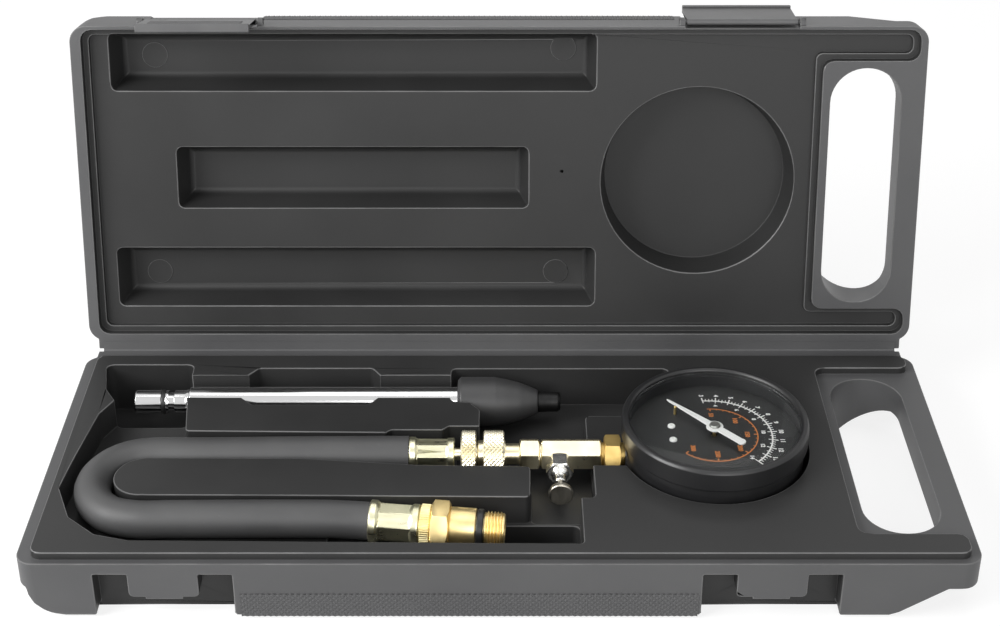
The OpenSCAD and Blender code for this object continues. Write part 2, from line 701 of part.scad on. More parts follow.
// Body of the quick coupler: hexagon end and thread, smooth waist and the core under the sleeve
module coupler_body() {
    color("#d9cfa8") translate([0, 0, line_z]) difference() {
        union() {
            rotate([30, 0, 0]) hex_bar(nut_x0, tee_x0 - 0.4, tee_af);
            bar_x(tee_x0 - 1, tee_x0 + 4.8, stem_r);
            turned_x([[-8.8, 5], [-8.4, 5.5], [sleeve_x1 + 0.4, 5.5],
                [sleeve_x1 + 0.4, 4.3], [nut_x0 + 1, 4.3]]);
        }
        bar_x(-10, 2, 3.3);
        bar_x(0, tee_x0 + 8, 1.8);
        for (a = [0:60:300]) rotate([a + 15, 0, 0])
            translate([-3, 0, 2.5]) cylinder(h = 5, r = 0.85, $fn = 24);
    }
}

// Locking balls, held between the core and the plug's groove
module coupler_balls() {
    color("#b8bcc0") translate([0, 0, line_z]) for (a = [0:60:300])
        rotate([a + 15, 0, 0]) translate([-3, 0, 4.6]) sphere(r = 0.8, $fn = 24);
}

// Return spring in the sleeve's counterbore, as the space that it fills
module coupler_spring() {
    color("#9aa0a4") translate([0, 0, line_z]) difference() {
        bar_x(-0.6, 1.4, 6.6);
        bar_x(-2, 3, 5.6);
    }
}

module coupler_sleeve() {
    color("#cfc9a8") translate([0, 0, line_z]) difference() {
        knurled_ring(sleeve_x0, sleeve_x1, knurl_r, 5.5 + fit_gap, 30);
        bar_x(-4.4, sleeve_x1 + 1, 6.8);
    }
}

// Knurled plug of the hose, whose nose goes into the coupler
module hose_plug() {
    color("#cfc9a8") translate([0, 0, line_z]) difference() {
        union() {
            knurled_ring(ring_x0, ring_x1, knurl_r, 3, 30);
            turned_x([[ferrule_x1 - 3, 2.6], [ring_x0, 2.6], [ring_x0, 4], [ring_x1, 4], [ring_x1, 3.2],
                [-4, 3.2], [-3.6, 2.9], [-2.4, 2.9], [-2, 3.2], [1, 3.2]]);
        }
        bar_x(ferrule_x1 - 4, 2, 1.3);
    }
}

// A crimped hose ferrule along X: flared ends and eight pressed flats between them
module ferrule(x0, x1, r0, r1, core) {
    length = x1 - x0;
    difference() {
        union() {
            turned_x([[x0, r0 - 0.5], [x0 + 0.3, r0], [x0 + 0.14 * length, r0 - 0.1],
                [x0 + 0.2 * length, r0 - 1]]);
            turned_x([[x1 - 0.2 * length, r1 - 1], [x1 - 0.14 * length, r1 - 0.1], [x1 - 0.3, r1],
                [x1, r1 - 0.5]]);
            translate([x0 + 0.12 * length, 0, 0]) rotate([22.5, 0, 0]) rotate([0, 90, 0])
                cylinder(h = 0.76 * length, r = min(r0, r1) - 0.27, $fn = 8);
        }
        bar_x(x1 - 4, x1 + 1, core);
    }
}

module ferrule_upper() {
    color("#d8c98a") translate([0, 0, line_z]) ferrule(ferrule_x0, ferrule_x1, 7, 6.6, 2.62);
}

module hose() {
    n = len(hose_route);
    rings = [for (i = [0:n - 1]) each tube_ring(hose_route, i, hose_r, hose_sides)];
    faces = [[for (k = [0:hose_sides - 1]) k],
        for (i = [0:n - 2], k = [0:hose_sides - 1])
            let (a = i * hose_sides + k, b = i * hose_sides + (k + 1) % hose_sides)
            each [[a, a + hose_sides, b + hose_sides], [a, b + hose_sides, b]],
        [for (k = [hose_sides - 1:-1:0]) (n - 1) * hose_sides + k]];
    color("#2b2b2d") polyhedron(points = rings, faces = faces);
}

module ferrule_lower() {
    color("#cfc592") on_lower_axis() ferrule(0, 19.3, 8.3, 7.8, 4.02);
}

// Knurled swivel ring behind the adaptor's hexagon
module swivel_ring() {
    color("#d2a94e") on_lower_axis() knurled_ring(19.4, 23.7, 8, 4.05, 36);
}

// Plug adaptor: tail in the ferrule, hexagon, barrel, seal groove and thread
module adaptor_body() {
    color("#d8b45a") on_lower_axis() difference() {
        union() {
            turned_x([[15.6, 4], [24.5, 4]]);
            hex_bar(23.9, 30.8, adaptor_af, 1.4);
            turned_x([[30.6, 7.3], [31, 7.7], [40.6, 7.7], [41, 7.4], [41, 5.9], [44.2, 5.9],
                [44.2, thread_r - 0.5], [44.7, thread_r], [51.2, thread_r], [52, thread_r - 0.9]]);
        }
        bar_x(14, 44, 1.8);
        bar_x(43, 54, 2.7);
    }
}

module adaptor_seal() {
    color("#141414") on_lower_axis() rotate([0, 90, 0]) rotate_extrude($fn = 64)
        polygon([[5.92, 41.2], [7.2, 41.2], [7.6, 41.7], [7.6, 43.5], [7.2, 44], [5.92, 44]]);
}

// Check valve core, screwed into the end of the adaptor
module valve_core() {
    color("#b89b50") on_lower_axis() {
        turned_x([[44.4, 1.2], [45.4, 2.65], [50.6, 2.65]]);
        turned_x([[50.5, 0.7], [51.6, 0.7]]);
    }
}

// Turned nose of the probe: quick plug, lock groove and shoulder
module probe_plug() {
    color("#d5d7d9") translate([0, probe_y, probe_z]) difference() {
        turned_x([[probe_x0, 4.3], [probe_x0 + 0.7, 5], [-143.4, 5], [-143.4, 4.1], [-141.4, 4.1],
            [-141.4, 5], [-140.2, 5], [-140.2, 4], [-137.6, 4], [-137.6, 5], [-133, 5],
            [probe_tube_x0 - 0.02, 5.6]]);
        bar_x(probe_x0 - 1, probe_tube_x0, 2.2);
    }
}

module probe_seal() {
    color("#141414") translate([0, probe_y, probe_z]) rotate([0, 90, 0]) rotate_extrude($fn = 48)
        polygon([[4.12, -143.3], [4.9, -143.3], [5.15, -142.8], [5.15, -142], [4.9, -141.5], [4.12, -141.5]]);
}

module probe_tube() {
    color("#e2e4e6") translate([0, probe_y, probe_z]) difference() {
        turned_x([[probe_tube_x0, tube_r - 0.7], [probe_tube_x0 + 0.8, tube_r], [probe_tube_x1, tube_r],
            [probe_tube_x1 + 0.01, 3.6], [tip_x1 - 12, 3.6]]);
        bar_x(probe_tube_x0 - 1, tip_x1, 2);
    }
}

// Rubber cone that seals in the plug hole
module probe_cone() {
    color("#2d2d2f") translate([0, probe_y, probe_z]) difference() {
        turned_x([[probe_tube_x1 + 0.05, cone_r - 1.4], [probe_tube_x1 + 1.4, cone_r], [cone_x1 - 9, cone_r],
            [cone_x1 - 4, cone_r - 0.9], [cone_x1 + 2, cone_r - 2.4], [cone_x2 - 3, cone_r - 4.2],
            [cone_x2, 5]]);
        bar_x(probe_tube_x1 - 1, cone_x2 + 1, 3.62);
    }
}

module probe_tip() {
    color("#3a3a3a") translate([0, probe_y, probe_z]) difference() {
        turned_x([[cone_x2 + 0.05, 4.4], [tip_x1 - 1.2, 4.2], [tip_x1, 3.4]]);
        bar_x(tip_x1 - 13, tip_x1 + 1, 1.6);
    }
}

case_base();
hinge_web();
case_lid();
latch_left();
latch_right();
gauge_case();
gauge_bezel();
gauge_lens();
dial_plate();
movement_plates();
movement_pillars();
bourdon_tube();
gauge_socket();
sector_gear();
link_rod();
pinion_arbor();
pointer();
pointer_cap();
tee_body();
relief_valve_body();
relief_spring();
relief_button();
coupler_body();
coupler_balls();
coupler_spring();
coupler_sleeve();
hose_plug();
ferrule_upper();
hose();
ferrule_lower();
swivel_ring();
adaptor_body();
adaptor_seal();
valve_core();
probe_plug();
probe_seal();
probe_tube();
probe_cone();
probe_tip();
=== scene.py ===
"""Looks of an engine compression tester lying in its moulded carry case.

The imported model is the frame. Each class below dresses one sub-assembly: it builds the
pieces that the frame only blocks in, and gives every part its finish. Lengths are in
millimetres and angles in degrees, unless a docstring says otherwise.
"""

import json
import logging
import math
from contextlib import contextmanager
from dataclasses import dataclass
from enum import Enum
from typing import Callable, Iterator, Sequence

import bmesh
import bpy
from mathutils import Matrix, Vector
from mathutils.bvhtree import BVHTree
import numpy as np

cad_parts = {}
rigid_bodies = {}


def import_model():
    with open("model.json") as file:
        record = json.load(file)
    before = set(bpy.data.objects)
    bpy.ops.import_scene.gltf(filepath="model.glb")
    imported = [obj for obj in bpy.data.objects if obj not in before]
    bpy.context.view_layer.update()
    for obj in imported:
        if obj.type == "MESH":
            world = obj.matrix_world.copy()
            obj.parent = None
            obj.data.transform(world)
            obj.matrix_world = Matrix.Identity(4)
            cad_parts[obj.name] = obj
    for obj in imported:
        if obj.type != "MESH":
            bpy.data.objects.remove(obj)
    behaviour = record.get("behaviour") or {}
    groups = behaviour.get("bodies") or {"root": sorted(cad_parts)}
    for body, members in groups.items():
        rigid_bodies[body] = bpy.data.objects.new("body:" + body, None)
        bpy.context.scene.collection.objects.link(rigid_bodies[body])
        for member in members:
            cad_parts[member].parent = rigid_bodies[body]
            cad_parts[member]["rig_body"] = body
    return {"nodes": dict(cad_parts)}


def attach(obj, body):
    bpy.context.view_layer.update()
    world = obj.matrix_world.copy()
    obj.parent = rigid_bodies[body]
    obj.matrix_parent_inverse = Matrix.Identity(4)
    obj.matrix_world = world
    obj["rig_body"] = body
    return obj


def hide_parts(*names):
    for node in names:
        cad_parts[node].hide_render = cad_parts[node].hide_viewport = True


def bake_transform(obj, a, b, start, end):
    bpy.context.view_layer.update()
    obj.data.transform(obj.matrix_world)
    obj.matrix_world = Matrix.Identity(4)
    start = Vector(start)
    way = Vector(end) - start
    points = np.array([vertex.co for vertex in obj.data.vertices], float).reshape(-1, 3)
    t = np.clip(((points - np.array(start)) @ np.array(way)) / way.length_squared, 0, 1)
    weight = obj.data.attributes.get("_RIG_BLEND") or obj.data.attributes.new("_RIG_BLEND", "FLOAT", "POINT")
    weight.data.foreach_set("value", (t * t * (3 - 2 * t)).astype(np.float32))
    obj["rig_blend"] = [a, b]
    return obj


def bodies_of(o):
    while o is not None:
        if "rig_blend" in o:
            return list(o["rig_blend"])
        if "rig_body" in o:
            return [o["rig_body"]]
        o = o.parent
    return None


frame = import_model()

LOG = logging.getLogger("compression_tester")
MM = 0.001
Obj = bpy.types.Object
Mat = bpy.types.Material
Node = bpy.types.Node
Socket = bpy.types.NodeSocket
Tree = bpy.types.NodeTree
Point = tuple[float, float, float]
Span = tuple[float, float]
Outline = Sequence[tuple[float, float]]


# Workbench: the hand operations that every sub-assembly uses


def put_down() -> None:
    """Leave edit mode and deselect everything."""
    if bpy.context.object and bpy.context.object.mode != "OBJECT":
        bpy.ops.object.mode_set(mode="OBJECT")
    bpy.ops.object.select_all(action="DESELECT")


def pick_up(piece: Obj, *others: Obj) -> Obj:
    """Select a piece, alone or with others, and make it active.

    Args:
        piece: The piece that becomes active.
        others: Pieces that are selected with it.

    Returns:
        The active piece.
    """
    put_down()
    for each in (piece, *others):
        each.select_set(True)
    bpy.context.view_layer.objects.active = piece
    return piece


@contextmanager
def editing(piece: Obj) -> Iterator[None]:
    """Open a piece in edit mode with all of it selected, and close it afterwards.

    Args:
        piece: The piece to work on.

    Yields:
        Nothing, while the piece is open.
    """
    pick_up(piece)
    bpy.ops.object.mode_set(mode="EDIT")
    bpy.ops.mesh.select_all(action="SELECT")
    yield
    bpy.ops.mesh.select_mode(type="VERT")
    bpy.ops.object.mode_set(mode="OBJECT")


def named(name: str) -> Obj:
    """Give the active object and its mesh a name.

    Args:
        name: The piece's name, which the export keeps.

    Returns:
        The active object.
    """
    piece = bpy.context.object
    piece.name = name
    piece.data.name = name
    return piece


def settle(piece: Obj) -> Obj:
    """Apply a piece's place, turn and scale, so that its object sits at the origin.

    Args:
        piece: The piece.

    Returns:
        The same piece.
    """
    pick_up(piece)
    bpy.ops.object.transform_apply(location=True, rotation=True, scale=True)
    return piece


def set_place(piece: Obj, place: Matrix) -> Obj:
    """Move a piece by a matrix and apply it."""
    piece.matrix_world = place @ piece.matrix_world
    return settle(piece)


def at(x: float, y: float, z: float) -> Matrix:
    """Give the matrix that moves a piece to a point."""
    return Matrix.Translation((x * MM, y * MM, z * MM))


def swing(angle: float, axis: str) -> Matrix:
    """Give the matrix that turns a piece about an axis through the origin."""
    return Matrix.Rotation(math.radians(angle), 4, axis)


def upright(piece: Obj, x: float, y: float, z: float = 0.0) -> Obj:
    """Stand a piece that was turned along X on a point."""
    return set_place(piece, at(x, y, z) @ swing(-90, "Y"))


def finish_mesh(piece: Obj, smooth: float = 32.0) -> Obj:
    """Merge doubles, turn the normals outwards and shade smooth up to an angle.

    Args:
        piece: The piece to tidy.
        smooth: The sharpest angle that still shades smooth.

    Returns:
        The same piece.
    """
    with editing(piece):
        bpy.ops.mesh.remove_doubles(threshold=0.002 * MM)
        bpy.ops.mesh.normals_make_consistent(inside=False)
    bpy.ops.object.shade_smooth_by_angle(angle=math.radians(smooth))
    return piece


def apply_all(piece: Obj) -> Obj:
    """Apply each modifier of a piece in order.

    Args:
        piece: The piece.

    Returns:
        The same piece.
    """
    pick_up(piece)
    for modifier in list(piece.modifiers):
        bpy.ops.object.modifier_apply(modifier=modifier.name)
    return piece


def joined(name: str, *parts: Obj) -> Obj:
    """Join parts into the first one.

    Args:
        name: The joined piece's name.
        parts: The parts.

    Returns:
        The joined piece.
    """
    pick_up(*parts)
    bpy.ops.object.join()
    return named(name)


def cut_with(piece: Obj, tool: Obj, kind: str = "DIFFERENCE") -> Obj:
    """Apply a boolean with a tool and throw the tool away.

    Args:
        piece: The piece to cut.
        tool: The tool.
        kind: DIFFERENCE, or INTERSECT to keep what lies inside the tool.

    Returns:
        The cut piece.
    """
    modifier = piece.modifiers.new("cut", "BOOLEAN")
    modifier.operation = kind
    modifier.solver = "EXACT"
    modifier.object = tool
    apply_all(piece)
    bpy.data.objects.remove(tool, do_unlink=True)
    return piece


def keep_side(piece: Obj, point: Point, normal: Point, fill: bool = False) -> None:
    """Cut a piece with a plane and drop what lies beyond it.

    Args:
        piece: The piece to cut.
        point: A point of the plane, in metres.
        normal: The side that is dropped.
        fill: Whether the cut is closed with a face.
    """
    with editing(piece):
        bpy.ops.mesh.bisect(
            plane_co=point, plane_no=normal, clear_outer=True, use_fill=fill, threshold=1e-7
        )


# Rounding: edges of the solids' copies


def flat_patches(mesh: bmesh.types.BMesh) -> dict[int, list[Vector]]:
    """Group the faces that lie in one plane.

    Args:
        mesh: The mesh, with its face indices up to date.

    Returns:
        The corners of each face's whole flat patch, by the face's index.
    """
    patches: dict[int, list[Vector]] = {}
    for seed in mesh.faces:
        if seed.index in patches:
            continue
        corners: list[Vector] = []
        patches[seed.index] = corners
        front = [seed]
        while front:
            face = front.pop()
            corners += [vertex.co for vertex in face.verts]
            for edge in face.edges:
                for other in edge.link_faces:
                    if other.index not in patches and other.normal.dot(seed.normal) > 0.99999:
                        patches[other.index] = corners
                        front.append(other)
    return patches


def weigh_edges(piece: Obj, width: float, angle: float) -> None:
    """Weigh each sharp edge for the bevel, less beside a patch narrower than two widths.

    Args:
        piece: The piece whose edges will be rounded.
        width: The bevel's full width.
        angle: Edges sharper than this are rounded.
    """
    mesh = bmesh.new()
    mesh.from_mesh(piece.data)
    patches = flat_patches(mesh)
    weights = mesh.edges.layers.float.new("bevel_weight_edge")
    enough = 2.2 * width * MM
    for edge in mesh.edges:
        if len(edge.link_faces) != 2 or edge.calc_face_angle() < math.radians(angle):
            continue
        start, along = edge.verts[0].co, (edge.verts[1].co - edge.verts[0].co).normalized()
        room = enough
        for face in edge.link_faces:
            widest = 0.0
            for corner in patches[face.index]:
                widest = max(widest, (corner - start).cross(along).length)
                if widest > enough:
                    break
            room = min(room, widest)
        edge[weights] = room / enough
    mesh.to_mesh(piece.data)
    mesh.free()


def bevelled(
    piece: Obj, width: float, segments: int = 2, angle: float = 30.0, weighed: bool = False
) -> Obj:
    """Round a piece's edges with an applied bevel.

    Args:
        piece: The piece to round.
        width: The bevel's width.
        segments: How many faces round one edge.
        angle: Edges sharper than this are rounded.
        weighed: Whether edges beside narrow patches are rounded less.

    Returns:
        The same piece.
    """
    bevel = piece.modifiers.new("edge", "BEVEL")
    bevel.width = width * MM
    bevel.segments = segments
    bevel.limit_method = "ANGLE"
    bevel.angle_limit = math.radians(angle)
    if weighed:
        weigh_edges(piece, width, angle)
        bevel.limit_method = "WEIGHT"
    bevel.use_clamp_overlap = False
    bevel.miter_outer = "MITER_ARC"
    return apply_all(piece)


def surface_of(piece: Obj) -> BVHTree:
    """Keep a piece's surface as it is now, to measure against later."""
    corners = [vertex.co.copy() for vertex in piece.data.vertices]
    return BVHTree.FromPolygons(corners, [tuple(face.vertices) for face in piece.data.polygons])


def pull_back(piece: Obj, surface: BVHTree, reach: float) -> None:
    """Put what the rounding threw off a surface back on it.

    Args:
        piece: The rounded copy.
        surface: The surface before the rounding.
        reach: How far the rounding may stand off it.
    """
    for vertex in piece.data.vertices:
        place, _, _, gap = surface.find_nearest(vertex.co)
        if gap > reach * MM:
            vertex.co = place


def mark_rubs(piece: Obj, surface: BVHTree, gaps: Span = (0.015, 0.2)) -> None:
    """Mark the faces that round an outer edge, which get a lighter painted highlight, in a face attribute.

    Args:
        piece: The rounded copy.
        surface: The surface before the rounding.
        gaps: Least and most that such a face lies below that surface.
    """
    painted_highlight = piece.data.attributes.new("painted_highlight", "BOOLEAN", "FACE").data
    for face in piece.data.polygons:
        place, normal, _, gap = surface.find_nearest(face.center)
        below = (face.center - place).dot(normal) < 0
        painted_highlight[face.index].value = below and gaps[0] < gap / MM < gaps[1]


def body_of(node: str) -> str:
    """Name the moving body that a solid belongs to."""
    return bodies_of(frame["nodes"][node])[0]


def stands_for(piece: Obj, node: str) -> Obj:
    """Let a piece replace a solid and ride on its body.

    Args:
        piece: The piece.
        node: The solid's name.

    Returns:
        The same piece.
    """
    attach(piece, body_of(node))
    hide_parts(node)
    return piece


def rounded_copy(
    node: str, width: float, segments: int = 2, weighed: bool = False,
    mend: Callable[[Obj], None] | None = None, drill: Callable[[Obj], None] | None = None,
) -> Obj:
    """Copy a solid's mesh, merge it and round its edges; the copy stands for the solid.

    Args:
        node: The solid's name.
        width: The rounding's width.
        segments: How many faces round one edge.
        weighed: Whether edges beside narrow patches are rounded less, and outer edges marked for a painted
            highlight.
        mend: Work on the merged copy before its edges are rounded.
        drill: Work on it after that.

    Returns:
        The new piece, riding on the solid's body.
    """
    source = frame["nodes"][node]
    piece = bpy.data.objects.new(node + "_finished", source.data.copy())
    bpy.context.collection.objects.link(piece)
    piece.data.materials.clear()
    with editing(piece):
        bpy.ops.mesh.remove_doubles(threshold=0.004 * MM)
    if mend:
        mend(piece)
    surface = surface_of(piece)
    bevelled(piece, width, segments, weighed=weighed)
    pull_back(piece, surface, 0.45 * width)
    if drill:
        drill(piece)
    with editing(piece):
        bpy.ops.mesh.dissolve_limited(angle_limit=math.radians(0.08))
    bpy.ops.object.shade_smooth_by_angle(angle=math.radians(32))
    normals = piece.modifiers.new("normals", "WEIGHTED_NORMAL")
    normals.keep_sharp = True
    normals.weight = 80
    stands_for(apply_all(piece), node)
    # Rounded outer edges are marked to take the painted highlight.
    if weighed:
        mark_rubs(piece, surface)
    return piece


# Stock: bars, rings, threads, springs and sheets, all modelled along X


def rod(name: str, span: Span, radius: float, faces: int = 48) -> Obj:
    """Make a bar, as stock for the cuts or as a drill.

    Args:
        name: The bar's name.
        span: Where it starts and ends.
        radius: Its radius, to the corners.
        faces: How many sides it has.

    Returns:
        The bar.
    """
    put_down()
    bpy.ops.mesh.primitive_cylinder_add(
        vertices=faces, radius=radius * MM, depth=(span[1] - span[0]) * MM,
        location=(sum(span) / 2 * MM, 0, 0), rotation=(0, math.pi / 2, 0),
    )
    return settle(named(name))


def drilled(piece: Obj, span: Span, radius: float) -> Obj:
    """Drill a piece from a millimetre before a span to a millimetre after it."""
    return cut_with(piece, rod("drill", (span[0] - 1, span[1] + 1), radius))


def traced(name: str, points: Sequence[Point]) -> Obj:
    """Draw a line by extruding one point to the next.

    Args:
        name: The line's name.
        points: Its points.

    Returns:
        The line, as a mesh without faces.
    """
    put_down()
    bpy.ops.mesh.primitive_plane_add(size=MM)
    piece = named(name)
    with editing(piece):
        bpy.ops.mesh.merge(type="CENTER")
        bpy.ops.transform.translate(value=[c * MM for c in points[0]])
        for start, end in zip(points, points[1:]):
            step = [(b - a) * MM for a, b in zip(start, end)]
            bpy.ops.mesh.extrude_region_move(TRANSFORM_OT_translate={"value": step})
    return piece


def turned(name: str, profile: Outline, steps: int = 64, closed: bool = False) -> Obj:
    """Turn a profile about X.

    Args:
        name: The piece's name.
        profile: Points as (place along the axis, radius).
        steps: How many faces go round.
        closed: Whether the profile goes back to its first point.

    Returns:
        The turned piece.
    """
    ends = profile[:1] if closed else ()
    piece = traced(name, [(along, 0, radius) for along, radius in (*profile, *ends)])
    with editing(piece):
        bpy.ops.mesh.spin(steps=steps, angle=math.tau, center=(0, 0, 0), axis=(1, 0, 0))
    return finish_mesh(piece)


def cone_ends(piece: Obj, span: Span, low: float, high: float, run: float) -> Obj:
    """Turn both ends of a bar down to cones.

    Args:
        piece: The bar.
        span: Where it starts and ends.
        low: Radius that is left at the ends.
        high: Radius where the cones stop, just clear of the bar.
        run: Length of each cone.

    Returns:
        The same bar.
    """
    x0, x1 = span
    outline = [(x0, 0.0), (x0, low), (x0 + run, high), (x1 - run, high), (x1, low), (x1, 0.0)]
    return cut_with(piece, turned("end_cuts", outline, 96), "INTERSECT")


def hexagon(name: str, span: Span, across: float, chamfer: float, bore: float) -> Obj:
    """Cut a drilled hexagon with chamfered corners.

    Args:
        name: The piece's name.
        span: Where it starts and ends.
        across: Width across flats.
        chamfer: How far the corners are turned down.
        bore: Radius of the bore.

    Returns:
        The hexagon, with flats up and down.
    """
    corner = across / math.sqrt(3)
    piece = rod(name, span, corner, 6)
    cone_ends(piece, span, corner - chamfer, corner + 0.02, 0.6 * chamfer)
    drilled(piece, span, bore)
    bevelled(piece, width=0.12, angle=20.0)
    pick_up(piece)
    bpy.ops.object.shade_smooth_by_angle(angle=math.radians(24))
    return piece


def fluted(name: str, span: Span, radius: float, bore: float, teeth: int, depth: float) -> Obj:
    """Cut a ring with straight flutes and chamfered ends.

    Args:
        name: The piece's name.
        span: Where it starts and ends.
        radius: Radius over the teeth.
        bore: Radius of the bore.
        teeth: How many teeth.
        depth: Depth of the flutes.

    Returns:
        The ring.
    """
    piece = rod(name, span, radius, 4 * teeth)
    for vertex in piece.data.vertices:
        quarter = math.atan2(vertex.co.z, vertex.co.y) / math.tau * 4 * teeth
        if round(quarter) % 4 in (2, 3):
            vertex.co.yz = vertex.co.yz * (1 - depth / radius)
    cone_ends(piece, span, radius - 0.6, radius + 0.05, 0.6)
    return finish_mesh(drilled(piece, span, bore), 20)


def thread(name: str, span: Span, radius: float, pitch: float, depth: float) -> Obj:
    """Cut a real screw thread with flat ends.

    Args:
        name: The piece's name.
        span: Where it starts and ends.
        radius: Crest radius.
        pitch: Distance between crests.
        depth: Depth of the groove.

    Returns:
        The threaded bar.
    """
    form = ((0.0, 0.0), (0.14, 0.0), (0.47, depth), (0.59, depth), (0.92, 0.0), (1.0, 0.0))
    before = span[0] - 2 * pitch
    piece = traced(name, [(before + share * pitch, 0, radius - low) for share, low in form])
    screw = piece.modifiers.new("thread", "SCREW")
    screw.axis = "X"
    screw.screw_offset = pitch * MM
    screw.iterations = math.ceil((span[1] - span[0]) / pitch) + 3
    screw.steps = screw.render_steps = 48
    finish_mesh(apply_all(piece), 25)
    for end, side in zip(span, (-1, 1)):
        keep_side(piece, (end * MM, 0, 0), (side, 0, 0), fill=True)
    return piece


@dataclass(frozen=True)
class Spring:
    """A coil spring with closed wire ends.

    Attributes:
        name: The piece's name.
        span: Where it starts and ends.
        radius: Radius of the coil's centre line.
        wire: Radius of the wire.
        turns: How many turns it has.
    """

    name: str
    span: Span
    radius: float
    wire: float
    turns: float

    def wind(self) -> Obj:
        """Wind the spring by screwing its wire's section.

        Returns:
            The spring.
        """
        x0, x1 = self.span
        put_down()
        bpy.ops.mesh.primitive_circle_add(
            vertices=10, radius=self.wire * MM, fill_type="NGON",
            location=((x0 + self.wire) * MM, 0, self.radius * MM), rotation=(math.pi / 2, 0, 0),
        )
        piece = settle(named(self.name))
        screw = piece.modifiers.new("winding", "SCREW")
        screw.axis = "X"
        screw.angle = math.tau * self.turns
        screw.screw_offset = (x1 - x0 - 2 * self.wire) * MM
        screw.steps = screw.render_steps = round(28 * self.turns)
        return finish_mesh(apply_all(piece), 40)


def drawn(name: str, section: Outline, span: Span, steps: int) -> Obj:
    """Draw a closed section out.

    Args:
        name: The piece's name.
        section: Corners as (y, z).
        span: Where the piece starts and ends.
        steps: How many lengths it is made of.

    Returns:
        The closed piece.
    """
    put_down()
    bpy.ops.mesh.primitive_circle_add(vertices=len(section), fill_type="NGON")
    piece = named(name)
    for vertex, (y, z) in zip(piece.data.vertices, section):
        vertex.co = (span[0] * MM, y * MM, z * MM)
    step = ((span[1] - span[0]) / steps * MM, 0, 0)
    with editing(piece):
        bpy.ops.mesh.select_mode(type="FACE")
        for _ in range(steps):
            bpy.ops.mesh.extrude_region_move(TRANSFORM_OT_translate={"value": step})
    return finish_mesh(piece)


def trim_sheet(piece: Obj, reach_x: float, reach_y: float) -> None:
    """Cut a flat sheet to a rectangle about the origin, given by its half sides in metres."""
    for x, y in ((1, 0), (-1, 0), (0, 1), (0, -1)):
        keep_side(piece, (x * reach_x, y * reach_y, 0), (x, y, 0))


def lozenge_sheet(name: str, along: float, across: float, pitch: float, rise: float) -> Obj:
    """Make a flat sheet of low pyramids on a lozenge pattern, centred on the origin.

    Args:
        name: The piece's name.
        along: Length in X.
        across: Length in Y.
        pitch: Distance between neighbouring points along X.
        rise: Height of the pyramids.

    Returns:
        The sheet, with its points towards +Z.
    """
    cell = pitch / math.sqrt(2) * MM
    count = 2 * math.ceil(0.75 * (along + across) * MM / cell / 2) + 2
    put_down()
    bpy.ops.mesh.primitive_grid_add(
        x_subdivisions=count, y_subdivisions=count, size=count * cell, rotation=(0, 0, math.pi / 4)
    )
    piece = settle(named(name))
    reach_x, reach_y = along / 2 * MM, across / 2 * MM
    trim_sheet(piece, reach_x + cell, reach_y + cell)
    with editing(piece):
        bpy.ops.mesh.poke(offset=rise * MM, use_relative_offset=False)
    trim_sheet(piece, reach_x, reach_y)
    return piece


def close_band(piece: Obj, radius: float) -> None:
    """Turn a rolled sheet's two rims inwards and join them inside.

    Args:
        piece: The rolled sheet.
        radius: How far in the rims are turned.
    """
    with editing(piece):
        bpy.ops.mesh.select_all(action="DESELECT")
        bpy.ops.mesh.select_non_manifold()
        bpy.ops.mesh.extrude_region_move()
    for vertex in piece.data.vertices:
        if vertex.select:
            vertex.co.yz = vertex.co.yz.normalized() * radius * MM
    bpy.ops.object.mode_set(mode="EDIT")
    bpy.ops.mesh.select_mode(type="EDGE")
    bpy.ops.mesh.bridge_edge_loops()
    bpy.ops.mesh.select_mode(type="VERT")
    bpy.ops.object.mode_set(mode="OBJECT")


def knurled_band(
    name: str, span: Span, radius: float, bore: float, pitch: float, rise: float
) -> Obj:
    """Roll a lozenge sheet into a ring and close it with chamfered ends and a bore.

    Args:
        name: The piece's name.
        span: Where the ring starts and ends.
        radius: Radius over the knurl's points.
        bore: Radius of the bore.
        pitch: Distance between points round the ring, fitted to a whole count.
        rise: Depth of the knurl.

    Returns:
        The closed ring.
    """
    chamfer = 0.5
    root = radius - rise
    inside = root - 0.2
    x0, x1 = span
    k0, k1 = x0 + chamfer, x1 - chamfer
    fitted = math.tau * root / round(math.tau * root / pitch)
    sheet = lozenge_sheet(name, math.tau * root, x1 - x0 - 2 * chamfer, fitted, rise)
    for vertex in sheet.data.vertices:
        turn, reach = vertex.co.x / (root * MM), root * MM + vertex.co.z
        along = (x0 + x1) / 2 * MM + vertex.co.y
        vertex.co = (along, reach * math.sin(turn), reach * math.cos(turn))
    close_band(finish_mesh(sheet, 20), root - 0.3)
    wall = turned(name + "_wall", [
        (k0, root + 0.1), (x0, root - 0.35), (x0, bore), (x1, bore), (x1, root - 0.35),
        (k1, root + 0.1), (k1, inside), (k0, inside)], closed=True)
    return finish_mesh(joined(name, sheet, wall), 20)


@dataclass(frozen=True)
class Axis:
    """A line that pieces are laid on.

    Attributes:
        start: Where the pieces' origin comes.
        yaw: Turn to the left about Z.
        pitch: Tilt down about Y.
    """

    start: Point
    yaw: float = 0.0
    pitch: float = 0.0

    def lay(self, piece: Obj) -> Obj:
        """Lay a piece that was modelled along X on the line."""
        return set_place(piece, at(*self.start) @ swing(self.yaw, "Z") @ swing(self.pitch, "Y"))

    def direction(self) -> Vector:
        """Give the line's direction.

        Returns:
            A vector of length one.
        """
        yaw, pitch = math.radians(self.yaw), math.radians(self.pitch)
        level = math.cos(pitch)
        return Vector((level * math.cos(yaw), level * math.sin(yaw), -math.sin(pitch)))


TESTER_LINE = Axis((0.0, 0.0, 24.7))
LOWER_END = Axis((-49.6, -41.8, 23.7), yaw=-5.0, pitch=1.0)


# Finishes


